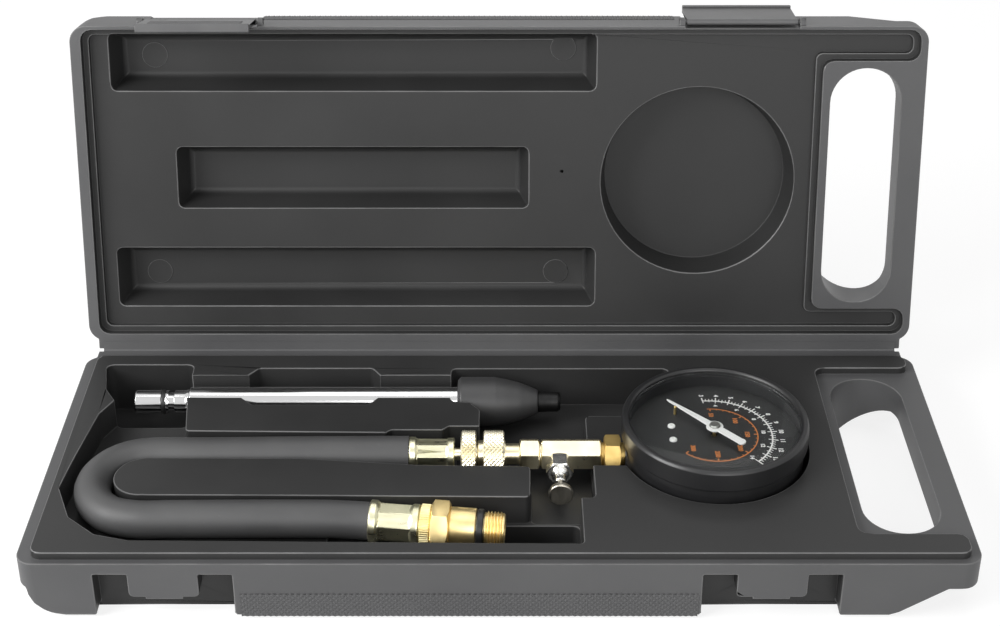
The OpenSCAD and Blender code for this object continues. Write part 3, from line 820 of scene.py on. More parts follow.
class Grain(Enum):
    """How a surface is broken up."""

    MOULDED = "moulded"
    RUBBER = "rubber"
    PRINT = "print"
    TURNED = "turned"
    DRAWN = "drawn"
    PLATED = "plated"

    @property
    def metal(self) -> bool:
        """Tell whether it is bare or plated metal."""
        return self in (Grain.TURNED, Grain.DRAWN, Grain.PLATED)


def feed(tree: Tree, value: Socket | float, socket: Socket) -> None:
    """Set an input to a number, or link a socket to it.

    Args:
        tree: The tree.
        value: A socket or a number.
        socket: The input.
    """
    if isinstance(value, (int, float)):
        socket.default_value = value
    else:
        tree.links.new(value, socket)


def math_node(tree: Tree, kind: str, first: Socket | float, second: Socket | float) -> Socket:
    """Add a math node.

    Args:
        tree: The tree to add to.
        kind: The operation.
        first: A socket or a number.
        second: A socket or a number.

    Returns:
        The output socket.
    """
    node = tree.nodes.new("ShaderNodeMath")
    node.operation = kind
    feed(tree, first, node.inputs[0])
    feed(tree, second, node.inputs[1])
    return node.outputs[0]


def noise(tree: Tree, vector: Socket, scale: Socket | float, detail: float) -> Socket:
    """Add a noise texture.

    Args:
        tree: The tree to add to.
        vector: The coordinates' socket.
        scale: A socket or a number.
        detail: How many finer layers it has.

    Returns:
        The factor's socket.
    """
    node = tree.nodes.new("ShaderNodeTexNoise")
    node.inputs["Detail"].default_value = detail
    feed(tree, vector, node.inputs["Vector"])
    feed(tree, scale, node.inputs["Scale"])
    return node.outputs["Fac"]


def remap(tree: Tree, value: Socket, low: float, high: float, to: Span = (0.0, 1.0)) -> Socket:
    """Map a value's range onto another, held at both ends.

    Args:
        tree: The tree to add to.
        value: The value's socket.
        low: Start of its range.
        high: End of its range.
        to: The new range.

    Returns:
        The output socket.
    """
    node = tree.nodes.new("ShaderNodeMapRange")
    for name, number in zip(("From Min", "From Max", "To Min", "To Max"), (low, high, *to)):
        node.inputs[name].default_value = number
    feed(tree, value, node.inputs["Value"])
    return node.outputs["Result"]


def new_group(name: str, inputs: dict[str, float]) -> tuple[Tree, Node, Socket]:
    """Start a shader group that puts out a height, a tone and a rub mask.

    Args:
        name: The group's name.
        inputs: Its value inputs with their defaults.

    Returns:
        The group, its input node and the socket of the Object coordinates.
    """
    group = bpy.data.node_groups.new(name, "ShaderNodeTree")
    kind = "NodeSocketFloat"
    for label, value in inputs.items():
        made = group.interface.new_socket(name=label, in_out="INPUT", socket_type=kind)
        made.default_value = value
    for label in ("Height", "Tone", "Rub"):
        group.interface.new_socket(name=label, in_out="OUTPUT", socket_type=kind)
    start = group.nodes.new("NodeGroupInput")
    return group, start, group.nodes.new("ShaderNodeTexCoord").outputs["Object"]


def close_group(group: Tree, height: Socket, tone: Socket, rub: Socket) -> Tree:
    """Feed a group's three outputs.

    Args:
        group: The group.
        height: Socket of the bump's height.
        tone: Socket of the share of the second colour.
        rub: Socket of the share of the higher roughness.

    Returns:
        The same group.
    """
    end = group.nodes.new("NodeGroupOutput")
    for value, socket in zip((height, tone, rub), end.inputs):
        group.links.new(value, socket)
    return group


def surface_group() -> Tree:
    """Build the group for moulded, printed and rubber surfaces.

    Returns:
        A group with a fine grain, broad blotches and scattered dust.
    """
    inputs = {"Grain scale": 1800.0, "Blotch scale": 25.0, "Dust": 0.3}
    group, start, where = new_group("moulded surface", inputs)
    grain = noise(group, where, start.outputs["Grain scale"], 2.0)
    blotch = noise(group, where, start.outputs["Blotch scale"], 4.0)
    specks = remap(group, noise(group, where, 900.0, 1.0), 0.68, 0.8)
    dust = math_node(group, "MULTIPLY", specks, start.outputs["Dust"])
    tone = math_node(group, "ADD", remap(group, blotch, 0.3, 0.7, (0.0, 0.6)), dust)
    return close_group(group, grain, tone, remap(group, blotch, 0.35, 0.75))


def metal_group() -> Tree:
    """Build the group for machined and plated metal.

    Returns:
        A group with fine lines across a chosen axis, and stains.
    """
    inputs = {"Lines along X": 2600.0, "Lines along Y": 200.0, "Stain scale": 120.0}
    group, start, where = new_group("machined metal", inputs)
    scales = group.nodes.new("ShaderNodeCombineXYZ")
    for axis, name in (("X", "Lines along X"), ("Y", "Lines along Y"), ("Z", "Lines along Y")):
        group.links.new(start.outputs[name], scales.inputs[axis])
    stretched = group.nodes.new("ShaderNodeVectorMath")
    stretched.operation = "MULTIPLY"
    group.links.new(where, stretched.inputs[0])
    group.links.new(scales.outputs["Vector"], stretched.inputs[1])
    lines = noise(group, stretched.outputs["Vector"], 1.0, 1.0)
    stain = noise(group, where, start.outputs["Stain scale"], 5.0)
    halves = [math_node(group, "MULTIPLY", value, 0.5) for value in (lines, stain)]
    rub = remap(group, math_node(group, "ADD", *halves), 0.35, 0.7)
    return close_group(group, lines, remap(group, stain, 0.35, 0.7), rub)


GROUPS: dict[bool, Tree] = {}


def group_for(grain: Grain) -> Tree:
    """Return the shared node group for a kind of surface, made on first use.

    Args:
        grain: How the surface is broken up.

    Returns:
        The group.
    """
    if grain.metal not in GROUPS:
        GROUPS[grain.metal] = metal_group() if grain.metal else surface_group()
    return GROUPS[grain.metal]


def grey(value: float) -> Point:
    """Give a neutral colour."""
    return (value, value, value)


@dataclass(frozen=True)
class Finish:
    """One procedural finish.

    Attributes:
        name: The material's name.
        slot: The record's slot that it stands for; not used.
        grain: How the surface is broken up.
        colour: The main colour, linear.
        second: The colour of blotches, stains and dust.
        rough: Lowest and highest roughness.
        bump: Strength of the bump.
        depth: Depth of the bump.
        values: The group's three inputs in its order, or nothing for its defaults.
        gloss: The shader's specular level.
    """

    name: str
    slot: str
    grain: Grain
    colour: Point
    second: Point
    rough: Span
    bump: float
    depth: float
    values: tuple[float, ...] = ()
    gloss: float = 0.5

    def material(self) -> Mat:
        """Build the finish's material, or return it if it is there."""
        return bpy.data.materials.get(self.name) or self.build()

    def build(self) -> Mat:
        """Build the finish's nodes.

        Returns:
            The new material.
        """
        made = bpy.data.materials.new(self.name)
        made.use_nodes = True
        tree = made.node_tree
        shader = tree.nodes["Principled BSDF"]
        shader.inputs["Metallic"].default_value = float(self.grain.metal)
        shader.inputs["Specular IOR Level"].default_value = self.gloss
        surface = tree.nodes.new("ShaderNodeGroup")
        surface.node_tree = group_for(self.grain)
        for socket, value in zip(surface.inputs, self.values):
            socket.default_value = value
        tint = tree.nodes.new("ShaderNodeMix")
        tint.data_type = "RGBA"
        tint.inputs[6].default_value = (*self.colour, 1.0)
        tint.inputs[7].default_value = (*self.second, 1.0)
        rough = remap(tree, surface.outputs["Rub"], 0.0, 1.0, self.rough)
        bump = tree.nodes.new("ShaderNodeBump")
        bump.inputs["Strength"].default_value = self.bump
        bump.inputs["Distance"].default_value = self.depth * MM
        for value, socket in (
            (surface.outputs["Tone"], tint.inputs[0]),
            (tint.outputs[2], shader.inputs["Base Color"]),
            (rough, shader.inputs["Roughness"]),
            (surface.outputs["Height"], bump.inputs["Height"]),
            (bump.outputs["Normal"], shader.inputs["Normal"]),
        ):
            tree.links.new(value, socket)
        return made


# The case's plastics

CASE = Finish("case plastic", "case_plastic", Grain.MOULDED, (0.058, 0.058, 0.06),
              (0.085, 0.085, 0.086), (0.42, 0.56), 0.25, 0.06, (1500.0, 18.0, 0.25))
# Painted shade: a darker copy of the case plastic, for the faces inside the trays where less light falls.
PAINTED_SHADE = Finish("painted shade plastic", "case_plastic", Grain.MOULDED, grey(0.022), grey(0.033),
              (0.4, 0.54), 0.25, 0.06, (1500.0, 18.0, 0.25), gloss=0.3)
# Painted highlight: a lighter, glossier copy of the case plastic, for the rounded outer edges that catch the
# light.
PAINTED_HIGHLIGHT = Finish("rubbed plastic", "case_plastic", Grain.MOULDED, grey(0.085), grey(0.16),
                (0.34, 0.46), 0.15, 0.05, (1500.0, 60.0, 0.3))
LATCH = Finish("latch plastic", "latch_plastic", Grain.MOULDED, (0.075, 0.075, 0.077),
               grey(0.1), (0.4, 0.5), 0.15, 0.05, (1900.0, 60.0, 0.3))

# The gauge

GAUGE = Finish("gauge plastic", "gauge_plastic", Grain.MOULDED, (0.012, 0.012, 0.013),
               grey(0.024), (0.3, 0.42), 0.06, 0.03, (2600.0, 40.0, 0.5))
DIAL = Finish("dial paint", "dial_paint", Grain.PRINT, grey(0.008), grey(0.014),
              (0.5, 0.6), 0.05, 0.02, (3000.0, 60.0, 0.2))
SCALE_WHITE = Finish("scale white", "dial_paint", Grain.PRINT, (0.88, 0.88, 0.85),
                     (0.74, 0.74, 0.71), (0.5, 0.6), 0.05, 0.01)
SCALE_ORANGE = Finish("scale orange", "dial_paint", Grain.PRINT, (0.6, 0.2, 0.045),
                      (0.46, 0.15, 0.035), (0.5, 0.6), 0.05, 0.01)
POINTER = Finish("pointer paint", "pointer_paint", Grain.PRINT, (0.8, 0.8, 0.78),
                 (0.65, 0.65, 0.62), (0.4, 0.5), 0.05, 0.01)
CAP = Finish("cap metal", "cap_metal", Grain.TURNED, (0.34, 0.34, 0.32), (0.2, 0.2, 0.19),
             (0.3, 0.45), 0.1, 0.02)
MOVEMENT = Finish("movement brass", "movement_brass", Grain.TURNED, (0.7, 0.52, 0.22),
                  (0.5, 0.36, 0.14), (0.25, 0.4), 0.1, 0.02)

# Brass, steel and plating

PLATED = Finish("plated brass", "plated_brass", Grain.PLATED, (0.9, 0.83, 0.6),
                (0.8, 0.7, 0.46), (0.26, 0.36), 0.05, 0.01, (700.0, 200.0, 90.0))
KNURL = Finish("knurled brass", "plated_brass", Grain.PLATED, (0.93, 0.87, 0.7),
               (0.84, 0.77, 0.56), (0.28, 0.36), 0.02, 0.01, (700.0, 200.0, 90.0))
BARE = Finish("bare brass", "bare_brass", Grain.DRAWN, (0.62, 0.45, 0.17), (0.48, 0.33, 0.11),
              (0.42, 0.55), 0.03, 0.01, (300.0, 1200.0, 140.0))
GOLD = Finish("gold brass", "gold_brass", Grain.TURNED, (0.93, 0.75, 0.38), (0.85, 0.65, 0.3),
              (0.34, 0.44), 0.03, 0.01, (1500.0, 200.0, 90.0))
RING = Finish("knurled gold", "gold_brass", Grain.PLATED, (0.98, 0.86, 0.5), (0.9, 0.75, 0.38),
              (0.34, 0.44), 0.02, 0.01, (900.0, 200.0, 90.0))
ZINC = Finish("yellow zinc", "yellow_zinc", Grain.PLATED, (0.88, 0.84, 0.6), (0.7, 0.69, 0.47),
              (0.26, 0.4), 0.08, 0.02, (150.0, 900.0, 150.0))
CHROME = Finish("chrome", "chrome", Grain.DRAWN, (0.86, 0.86, 0.87), (0.7, 0.7, 0.71),
                (0.06, 0.16), 0.04, 0.01, (120.0, 1800.0, 90.0))
SATIN = Finish("satin chrome", "chrome", Grain.PLATED, (0.88, 0.87, 0.84), (0.78, 0.77, 0.74),
               (0.2, 0.28), 0.01, 0.01, (300.0, 500.0, 90.0))
BUTTON = Finish("button steel", "cap_metal", Grain.TURNED, (0.5, 0.47, 0.4), (0.38, 0.36, 0.31),
                (0.3, 0.46), 0.15, 0.02)
SPRING = Finish("spring steel", "spring_steel", Grain.DRAWN, (0.5, 0.51, 0.52), (0.3, 0.3, 0.31),
                (0.25, 0.4), 0.1, 0.02)
TIP = Finish("tip metal", "tip_metal", Grain.TURNED, grey(0.03), grey(0.02), (0.45, 0.6), 0.1, 0.02)

# Rubber

HOSE = Finish("hose rubber", "hose_rubber", Grain.RUBBER, (0.05, 0.05, 0.051), grey(0.072),
              (0.48, 0.6), 0.35, 0.08, (1300.0, 40.0, 0.35))
SEAL = Finish("seal rubber", "seal_rubber", Grain.RUBBER, grey(0.008), grey(0.02),
              (0.35, 0.5), 0.1, 0.02)
CONE = Finish("cone rubber", "cone_rubber", Grain.RUBBER, (0.035, 0.035, 0.036), grey(0.045),
              (0.42, 0.55), 0.2, 0.05, (1700.0, 60.0, 0.4))


def mix_shaders(tree: Tree, share: Socket, first: Node, second: Node, end: Node) -> None:
    """Mix two shaders and show the mix.

    Args:
        tree: The tree of a material or the world.
        share: Socket of the second one's share.
        first: One shader.
        second: The other.
        end: The tree's output node.
    """
    mix = tree.nodes.new("ShaderNodeMixShader")
    for value, socket in zip((share, first.outputs[0], second.outputs[0]), mix.inputs):
        tree.links.new(value, socket)
    tree.links.new(mix.outputs[0], end.inputs["Surface"])


def clear_glass() -> Mat:
    """Build the lens glass, which lets shadow and diffuse rays straight through.

    Returns:
        The new material.
    """
    made = bpy.data.materials.new("lens glass")
    made.use_nodes = True
    tree = made.node_tree
    shader = tree.nodes["Principled BSDF"]
    shader.inputs["Base Color"].default_value = (0.96, 0.98, 0.98, 1.0)
    shader.inputs["Roughness"].default_value = 0.03
    shader.inputs["IOR"].default_value = 1.16
    shader.inputs["Transmission Weight"].default_value = 1.0
    path = tree.nodes.new("ShaderNodeLightPath").outputs
    through = math_node(tree, "MAXIMUM", path["Is Shadow Ray"], path["Is Diffuse Ray"])
    open_air = tree.nodes.new("ShaderNodeBsdfTransparent")
    mix_shaders(tree, through, shader, open_air, tree.nodes["Material Output"])
    return made


def dress(piece: Obj, finish: Finish) -> Obj:
    """Give a new piece its only finish.

    Args:
        piece: The piece.
        finish: The finish.

    Returns:
        The same piece.
    """
    piece.data.materials.clear()
    piece.data.materials.append(finish.material())
    return piece


def dress_node(node: str, finish: Finish) -> None:
    """Give a solid that stays its finish."""
    for place in frame["nodes"][node].material_slots:
        place.material = finish.material()


# Stage


@dataclass(frozen=True)
class Lamp:
    """One soft square lamp.

    Attributes:
        name: The lamp's name.
        place: Where it hangs, in metres.
        aim: What it points at, in metres.
        size: Its side in metres.
        power: Its power in watts.
    """

    name: str
    place: Point
    aim: Point
    size: float
    power: float

    def hang(self) -> None:
        """Hang the lamp and point it."""
        put_down()
        bpy.ops.object.light_add(type="AREA", location=self.place)
        light = bpy.context.object
        light.name = self.name
        light.data.shape = "SQUARE"
        light.data.size = self.size
        light.data.energy = self.power
        line = Vector(self.aim) - Vector(self.place)
        light.rotation_euler = line.to_track_quat("-Z", "Y").to_euler()


@dataclass
class Studio:
    """Camera, floor, world and lamps.

    Attributes:
        eye: Where the camera stands.
        tilt: How far the camera looks down, in radians.
        lens: Focal length on the 36 mm sensor.
        shift: Vertical shift of the frame.
        light: The world's strength as a light.
        paper: The floor's brightness as it is lit.
        glow: The floor's own strength where it is seen.
        share: How much of the floor is glow where it is seen.
        lamps: The lamps.
    """

    eye: Point = (0.354, -589.92, 457.6)
    tilt: float = 0.4995
    lens: float = 64.57
    shift: float = -0.1
    light: float = 0.28
    paper: float = 0.9
    glow: float = 1.12
    share: float = 0.72
    lamps: tuple[Lamp, ...] = (
        Lamp("lamp_left", (-0.8, -0.4, 0.62), (-0.05, 0, 0.05), 0.6, 13.0),
        Lamp("lamp_front", (0.3, -1.3, 0.7), (0, 0, 0.05), 0.9, 9.0),
        Lamp("lamp_top", (0.1, 0.15, 1.5), (0, 0, 0.03), 0.9, 4.0),
        Lamp("lamp_back", (0.0, 1.3, 1.1), (0, 0, 0.03), 0.9, 4.0),
    )

    def camera(self) -> None:
        """Stand the camera where the photograph was taken from."""
        put_down()
        bpy.ops.object.camera_add(
            location=[c * MM for c in self.eye], rotation=(math.pi / 2 - self.tilt, 0, 0)
        )
        camera = bpy.context.object
        camera.name = "studio_camera"
        camera.data.lens = self.lens
        camera.data.sensor_width = 36.0
        camera.data.shift_y = self.shift
        camera.data.clip_start, camera.data.clip_end = 0.01, 20.0
        bpy.context.scene.camera = camera

    def seen_rays(self, tree: Tree) -> Socket:
        """Sum the camera, glossy and transmission rays, held at one.

        Args:
            tree: The tree to add to.

        Returns:
            The sum's socket.
        """
        path = tree.nodes.new("ShaderNodeLightPath").outputs
        first = math_node(tree, "MAXIMUM", path["Is Camera Ray"], path["Is Glossy Ray"])
        return math_node(tree, "MAXIMUM", first, path["Is Transmission Ray"])

    def world(self) -> None:
        """Give the world a plain light, and white where it is seen straight or in a mirror."""
        world = bpy.context.scene.world or bpy.data.worlds.new("studio")
        bpy.context.scene.world = world
        world.use_nodes = True
        tree = world.node_tree
        tree.nodes.clear()
        shaders = []
        for strength in (self.light, 1.0):
            shaders.append(tree.nodes.new("ShaderNodeBackground"))
            shaders[-1].inputs["Strength"].default_value = strength
        end = tree.nodes.new("ShaderNodeOutputWorld")
        mix_shaders(tree, self.seen_rays(tree), *shaders, end)

    def floor(self) -> None:
        """Lay a pale floor that looks white and keeps the case's shadow."""
        put_down()
        bpy.ops.mesh.primitive_grid_add(
            x_subdivisions=4, y_subdivisions=4, size=8.0, location=(0, 0, -0.2 * MM)
        )
        ground = settle(named("studio_floor"))
        made = bpy.data.materials.new("studio floor")
        made.use_nodes = True
        tree = made.node_tree
        tree.nodes.clear()
        paper = tree.nodes.new("ShaderNodeBsdfDiffuse")
        paper.inputs["Color"].default_value = (*grey(self.paper), 1)
        glow = tree.nodes.new("ShaderNodeEmission")
        glow.inputs["Strength"].default_value = self.glow
        share = math_node(tree, "MULTIPLY", self.seen_rays(tree), self.share)
        mix_shaders(tree, share, paper, glow, tree.nodes.new("ShaderNodeOutputMaterial"))
        ground.data.materials.append(made)

    def build(self) -> None:
        """Set up the whole stage."""
        self.camera()
        self.world()
        self.floor()
        for lamp in self.lamps:
            lamp.hang()
        bpy.context.scene.view_settings.view_transform = "Standard"


# The hose and what is on it


def blend_points(p: Vector, q: Vector, start: float, end: float, t: float) -> Vector:
    """Blend two points by how far t lies between start and end."""
    share = (t - start) / (end - start)
    return p * (1 - share) + q * share


def spline_point(knots: Sequence[Vector], times: Sequence[float], t: float) -> Vector:
    """Find a point of a centripetal spline between its second and third knot.

    Args:
        knots: Four neighbouring points.
        times: Their places on the spline.
        t: The place that is wanted.

    Returns:
        The point.
    """
    level = list(knots)
    for width in (1, 2):
        level = [
            blend_points(level[i], level[i + 1], times[i], times[i + width], t)
            for i in range(len(level) - 1)
        ]
    return blend_points(level[0], level[1], times[1], times[2], t)


@dataclass
class Hose:
    """The rubber hose, from the crimped end at the coupler to the one at the plug.

    Attributes:
        carried: The pieces on the hose's lower end; not used.
        radius: The hose's radius.
        start: Where it leaves the upper ferrule.
        turn: Middle of the turn at the left end, as x and y.
        bend: Radius of that turn.
        level: Height of the turn.
        low_end: The axis of its lower end.
        step: Distance between the points of its smooth line.
    """

    carried: Sequence[Obj]
    radius: float = 7.3
    start: Point = (-36.4, 0.0, TESTER_LINE.start[2])
    turn: tuple[float, float] = (-139.5, -20.5)
    bend: float = 20.5
    level: float = 23.9
    low_end: Axis = LOWER_END
    step: float = 1.5

    def route(self) -> list[Vector]:
        """Repeat the route of the solid's hose.

        Returns:
            Its points, in metres.
        """
        (x, y), z = self.turn, self.level
        points = [self.start, (-48, 0, self.start[2]), (-64, 0, 24.6), (-80, 0, 24.5),
                  (-96, 0, 24.3), (-112, 0, 24.1), (-126, 0, 24), (x, 0, z)]
        for angle in range(115, 241, 25):
            turn = math.radians(angle)
            points.append((x + self.bend * math.cos(turn), y + self.bend * math.sin(turn), z))
        points += [(x, -41, z), (-126, -41, 24), (-112, -41, 24.1), (-96, -41, 24.2),
                   (-80, -41, 24.2), (-66, -41.1, 24.2)]
        low = Vector(self.low_end.start)
        points += [low - 5 * self.low_end.direction(), low]
        return [Vector(p) * MM for p in points]

    def smooth_route(self) -> list[Vector]:
        """Lay one smooth line through the route's points, by a centripetal spline.

        Returns:
            The line's points, in metres.
        """
        knots = self.route()
        ends = [2 * knots[0] - knots[1], *knots, 2 * knots[-1] - knots[-2]]
        line: list[Vector] = []
        for a, b, c, d in zip(ends, ends[1:], ends[2:], ends[3:]):
            steps = max(2, round((c - b).length / (self.step * MM)))
            times = [0.0]
            for p, q in ((a, b), (b, c), (c, d)):
                times.append(times[-1] + math.sqrt((q - p).length))
            for i in range(steps):
                t = times[1] + (times[2] - times[1]) * i / steps
                line.append(spline_point((a, b, c, d), times, t))
        return [*line, knots[-1]]

    def build(self) -> list[Obj]:
        """Sweep the hose along its line and close both ends.

        Returns:
            The hose.
        """
        line = self.smooth_route()
        put_down()
        bpy.ops.curve.primitive_nurbs_path_add()
        path = named("hose_tube")
        path.data.splines.clear()
        spline = path.data.splines.new("POLY")
        spline.points.add(len(line) - 1)
        for place, point in zip(spline.points, line):
            place.co = (*point, 1.0)
        path.data.dimensions = "3D"
        path.data.twist_mode = "Z_UP"
        path.data.bevel_depth = self.radius * MM
        path.data.bevel_resolution = 8
        path.data.use_fill_caps = True
        pick_up(path)
        bpy.ops.object.convert(target="MESH")
        hose = dress(stands_for(finish_mesh(path, 50), "hose"), HOSE)
        return [hose]


@dataclass
class Fittings:
    """Pieces that keep the solid's form and at most get their edges rounded.

    Attributes:
        pieces: Each node that is rounded, with its finish and the rounding's width.
        inner: Each hidden node that stays as it is, with its finish.
    """

    pieces: tuple[tuple[str, Finish, float], ...] = (
        ("tee_body", PLATED, 0.18), ("coupler_body", PLATED, 0.14), ("gauge_socket", BARE, 0.14),
        ("ferrule_upper", ZINC, 0.2), ("ferrule_lower", ZINC, 0.25),
        ("relief_valve_body", SATIN, 0.12), ("probe_plug", CHROME, 0.12),
        ("probe_tube", CHROME, 0.2), ("probe_cone", CONE, 0.35), ("probe_tip", TIP, 0.2),
        ("probe_seal", SEAL, 0.1), ("valve_core", BARE, 0.1), ("adaptor_seal", SEAL, 0.12),
        ("relief_button", BUTTON, 0.2),
    )
    inner: tuple[tuple[str, Finish], ...] = (
        ("movement_plates", MOVEMENT), ("movement_pillars", MOVEMENT), ("bourdon_tube", MOVEMENT),
        ("sector_gear", MOVEMENT), ("link_rod", MOVEMENT), ("pinion_arbor", MOVEMENT),
        ("coupler_balls", SPRING),
    )

    def build(self) -> list[Obj]:
        """Round and dress every piece of the lists.

        Returns:
            The rounded pieces.
        """
        for node, finish in self.inner:
            dress_node(node, finish)
        return [dress(rounded_copy(node, width), finish) for node, finish, width in self.pieces]


@dataclass
class Coupler:
    """The quick coupler's knurled rings and springs.

    Attributes:
        line: The tester's axis.
        radius: Radius over the knurls.
        pitch: Distance between the knurl's points.
        rise: Depth of the knurl.
        ring: Start and end of the hose plug's ring.
        nipple: Where the plug starts inside the hose, and its radius there.
        nose: Where the plug ends, and its radius in the coupler.
        groove: Start and end of the locking balls' groove, and its radius.
        bore: Radius of the plug's bore.
        sleeve: Start and end of the coupler's sleeve.
        lip: Where the sleeve's inner lip ends, and its radius.
        spring: The sleeve's spring.
        small_spring: The relief valve's spring.
        valve_x: Where the relief valve stands on the tee.
    """

    line: Axis = TESTER_LINE
    radius: float = 9.7
    pitch: float = 1.75
    rise: float = 0.55
    ring: Span = (-15.4, -9.2)
    nipple: tuple[float, float] = (-21.0, 2.55)
    nose: tuple[float, float] = (1.0, 3.2)
    groove: Point = (-4.0, -2.0, 2.9)
    bore: float = 1.3
    sleeve: Span = (-6.4, 2.2)
    lip: tuple[float, float] = (-4.4, 5.55)
    spring: Spring = Spring("coupler_spring_coil", (-0.6, 1.4), 6.1, 0.45, 1.9)
    small_spring: Spring = Spring("relief_spring_coil", (12.6, 17.2), 1.37, 0.16, 6.0)
    valve_x: float = 24.2

    def build_plug(self) -> Obj:
        """Knurl the hose plug's ring and turn its nose.

        Returns:
            The plug.
        """
        hub = 4.0
        band = knurled_band("plug_ring", self.ring, self.radius, hub - 0.4, self.pitch, self.rise)
        (x0, x1), (tail, tail_r), (tip, r) = self.ring, self.nipple, self.nose
        g0, g1, groove_r = self.groove
        nose = turned("plug_nose", [
            (tail, tail_r), (x0 - 0.1, tail_r), (x0 - 0.1, hub), (x1 + 0.1, hub), (x1 + 0.2, r),
            (g0, r), (g0 + 0.4, groove_r), (g1 - 0.4, groove_r), (g1, r), (tip - 0.2, r),
            (tip, r - 0.2), (tip, self.bore), (tail, self.bore)], closed=True)
        piece = self.line.lay(joined("hose_plug_finished", band, nose))
        return dress(stands_for(piece, "hose_plug"), KNURL)

    def build_sleeve(self) -> Obj:
        """Knurl the sleeve and turn the lip inside it.

        Returns:
            The sleeve.
        """
        inside = 6.8
        band = knurled_band(
            "sleeve_knurl", self.sleeve, self.radius, inside, self.pitch, self.rise)
        x0, (x1, r) = self.sleeve[0] + 0.05, self.lip
        lip = turned("sleeve_lip", [
            (x0, r + 0.2), (x0 + 0.2, r), (x1 - 0.2, r), (x1, r + 0.2), (x1, inside + 0.4),
            (x0, inside + 0.4)], closed=True)
        piece = self.line.lay(joined("coupler_sleeve_finished", band, lip))
        return dress(stands_for(piece, "coupler_sleeve"), KNURL)

    def build_springs(self) -> list[Obj]:
        """Wind the sleeve's spring and the relief valve's.

        Returns:
            Both springs.
        """
        side = Axis((self.valve_x, 0, self.line.start[2]), yaw=-90)
        wide = stands_for(self.line.lay(self.spring.wind()), "coupler_spring")
        small = stands_for(side.lay(self.small_spring.wind()), "relief_spring")
        return [dress(wide, SPRING), dress(small, SPRING)]

    def build(self) -> list[Obj]:
        """Build the rings and the springs."""
        return [self.build_plug(), self.build_sleeve(), *self.build_springs()]


@dataclass
class PlugAdaptor:
    """The spark plug adaptor on the hose's lower end.

    Attributes:
        axis: The line it lies on.
        stem: Where its stem starts, and the stem's radius.
        ring: Start and end of the swivel ring.
        ring_r: Radius over the ring's teeth.
        teeth: How many teeth the ring has.
        nut: Start and end of the hexagon.
        across: Hexagon across flats.
        core: Where the core inside the hexagon starts, and its radius.
        barrel: Start and end of the barrel.
        barrel_r: The barrel's radius.
        neck_r: Radius of the neck between the barrel and the thread.
        screw: Start and end of the thread.
        crest: Crest radius of the thread.
        lead: Pitch of the thread.
        bore: Radius of the bore.
    """

    axis: Axis = LOWER_END
    stem: tuple[float, float] = (15.6, 4.0)
    ring: Span = (19.4, 23.7)
    ring_r: float = 8.0
    teeth: int = 52
    nut: Span = (23.9, 30.8)
    across: float = 17.4
    core: tuple[float, float] = (24.5, 6.4)
    barrel: Span = (30.7, 41.0)
    barrel_r: float = 7.7
    neck_r: float = 5.9
    screw: Span = (44.2, 52.0)
    crest: float = 6.95
    lead: float = 1.25
    bore: float = 2.7

    def turn_barrel(self) -> Obj:
        """Turn the stem, the core, the rounded barrel and the neck.

        Returns:
            The turned piece.
        """
        (x0, stem_r), (x1, core_r), (x2, x3), r = self.stem, self.core, self.barrel, self.barrel_r
        x4 = self.screw[0]
        return turned("adaptor_barrel", [
            (x0, stem_r), (x1, stem_r), (x1, core_r), (x2, core_r), (x2, r - 0.35),
            (x2 + 0.4, r - 0.08), (x2 + 0.8, r), (x3 - 0.5, r), (x3 - 0.15, r - 0.15),
            (x3, r - 0.4), (x3, self.neck_r), (x4, self.neck_r), (x4, self.bore), (x0, self.bore)],
            closed=True)

    def cut_thread(self) -> Obj:
        """Cut the drilled thread with its lead-in and its run-out.

        Returns:
            The threaded end.
        """
        screwed = thread("adaptor_thread", self.screw, self.crest, self.lead, depth=0.72)
        x0, x1, r = self.screw[0] - 0.2, self.screw[1], self.crest + 0.05
        ends = [(x0, 0.0), (x0, r - 0.7), (x0 + 1, r), (x1 - 1.1, r), (x1, r - 1), (x1, 0.0)]
        cut_with(screwed, turned("lead_in", ends), "INTERSECT")
        return drilled(screwed, self.screw, self.bore)

    def build_body(self) -> Obj:
        """Turn the barrel, cut the hexagon and screw the thread.

        Returns:
            The adaptor's body.
        """
        nut = hexagon(
            "adaptor_hexagon", self.nut, self.across, chamfer=1.4, bore=self.bore + 0.3)
        parts = [self.turn_barrel(), nut, self.cut_thread()]
        piece = self.axis.lay(joined("adaptor_body_finished", *parts))
        return dress(stands_for(piece, "adaptor_body"), GOLD)

    def build_ring(self) -> Obj:
        """Cut the swivel ring's fine straight knurl.

        Returns:
            The ring.
        """
        ring = fluted(
            "swivel_ring_finished", self.ring, self.ring_r, bore=self.stem[1] + 0.05,
            teeth=self.teeth, depth=0.3)
        return dress(stands_for(self.axis.lay(ring), "swivel_ring"), RING)

    def build(self) -> list[Obj]:
        """Build the body and the ring."""
        return [self.build_body(), self.build_ring()]


@dataclass(frozen=True)
class Ticks:
    """A row of even ticks on an arc of the dial.

    Attributes:
        name: The ticks' name.
        count: How many spaces there are between them.
        every: Each so many is a long tick.
        lengths: Length of a long and of a short tick; below nothing, it points inwards.
        widths: Width of a long and of a short tick.
    """

    name: str
    count: int
    every: int
    lengths: tuple[float, float]
    widths: tuple[float, float]


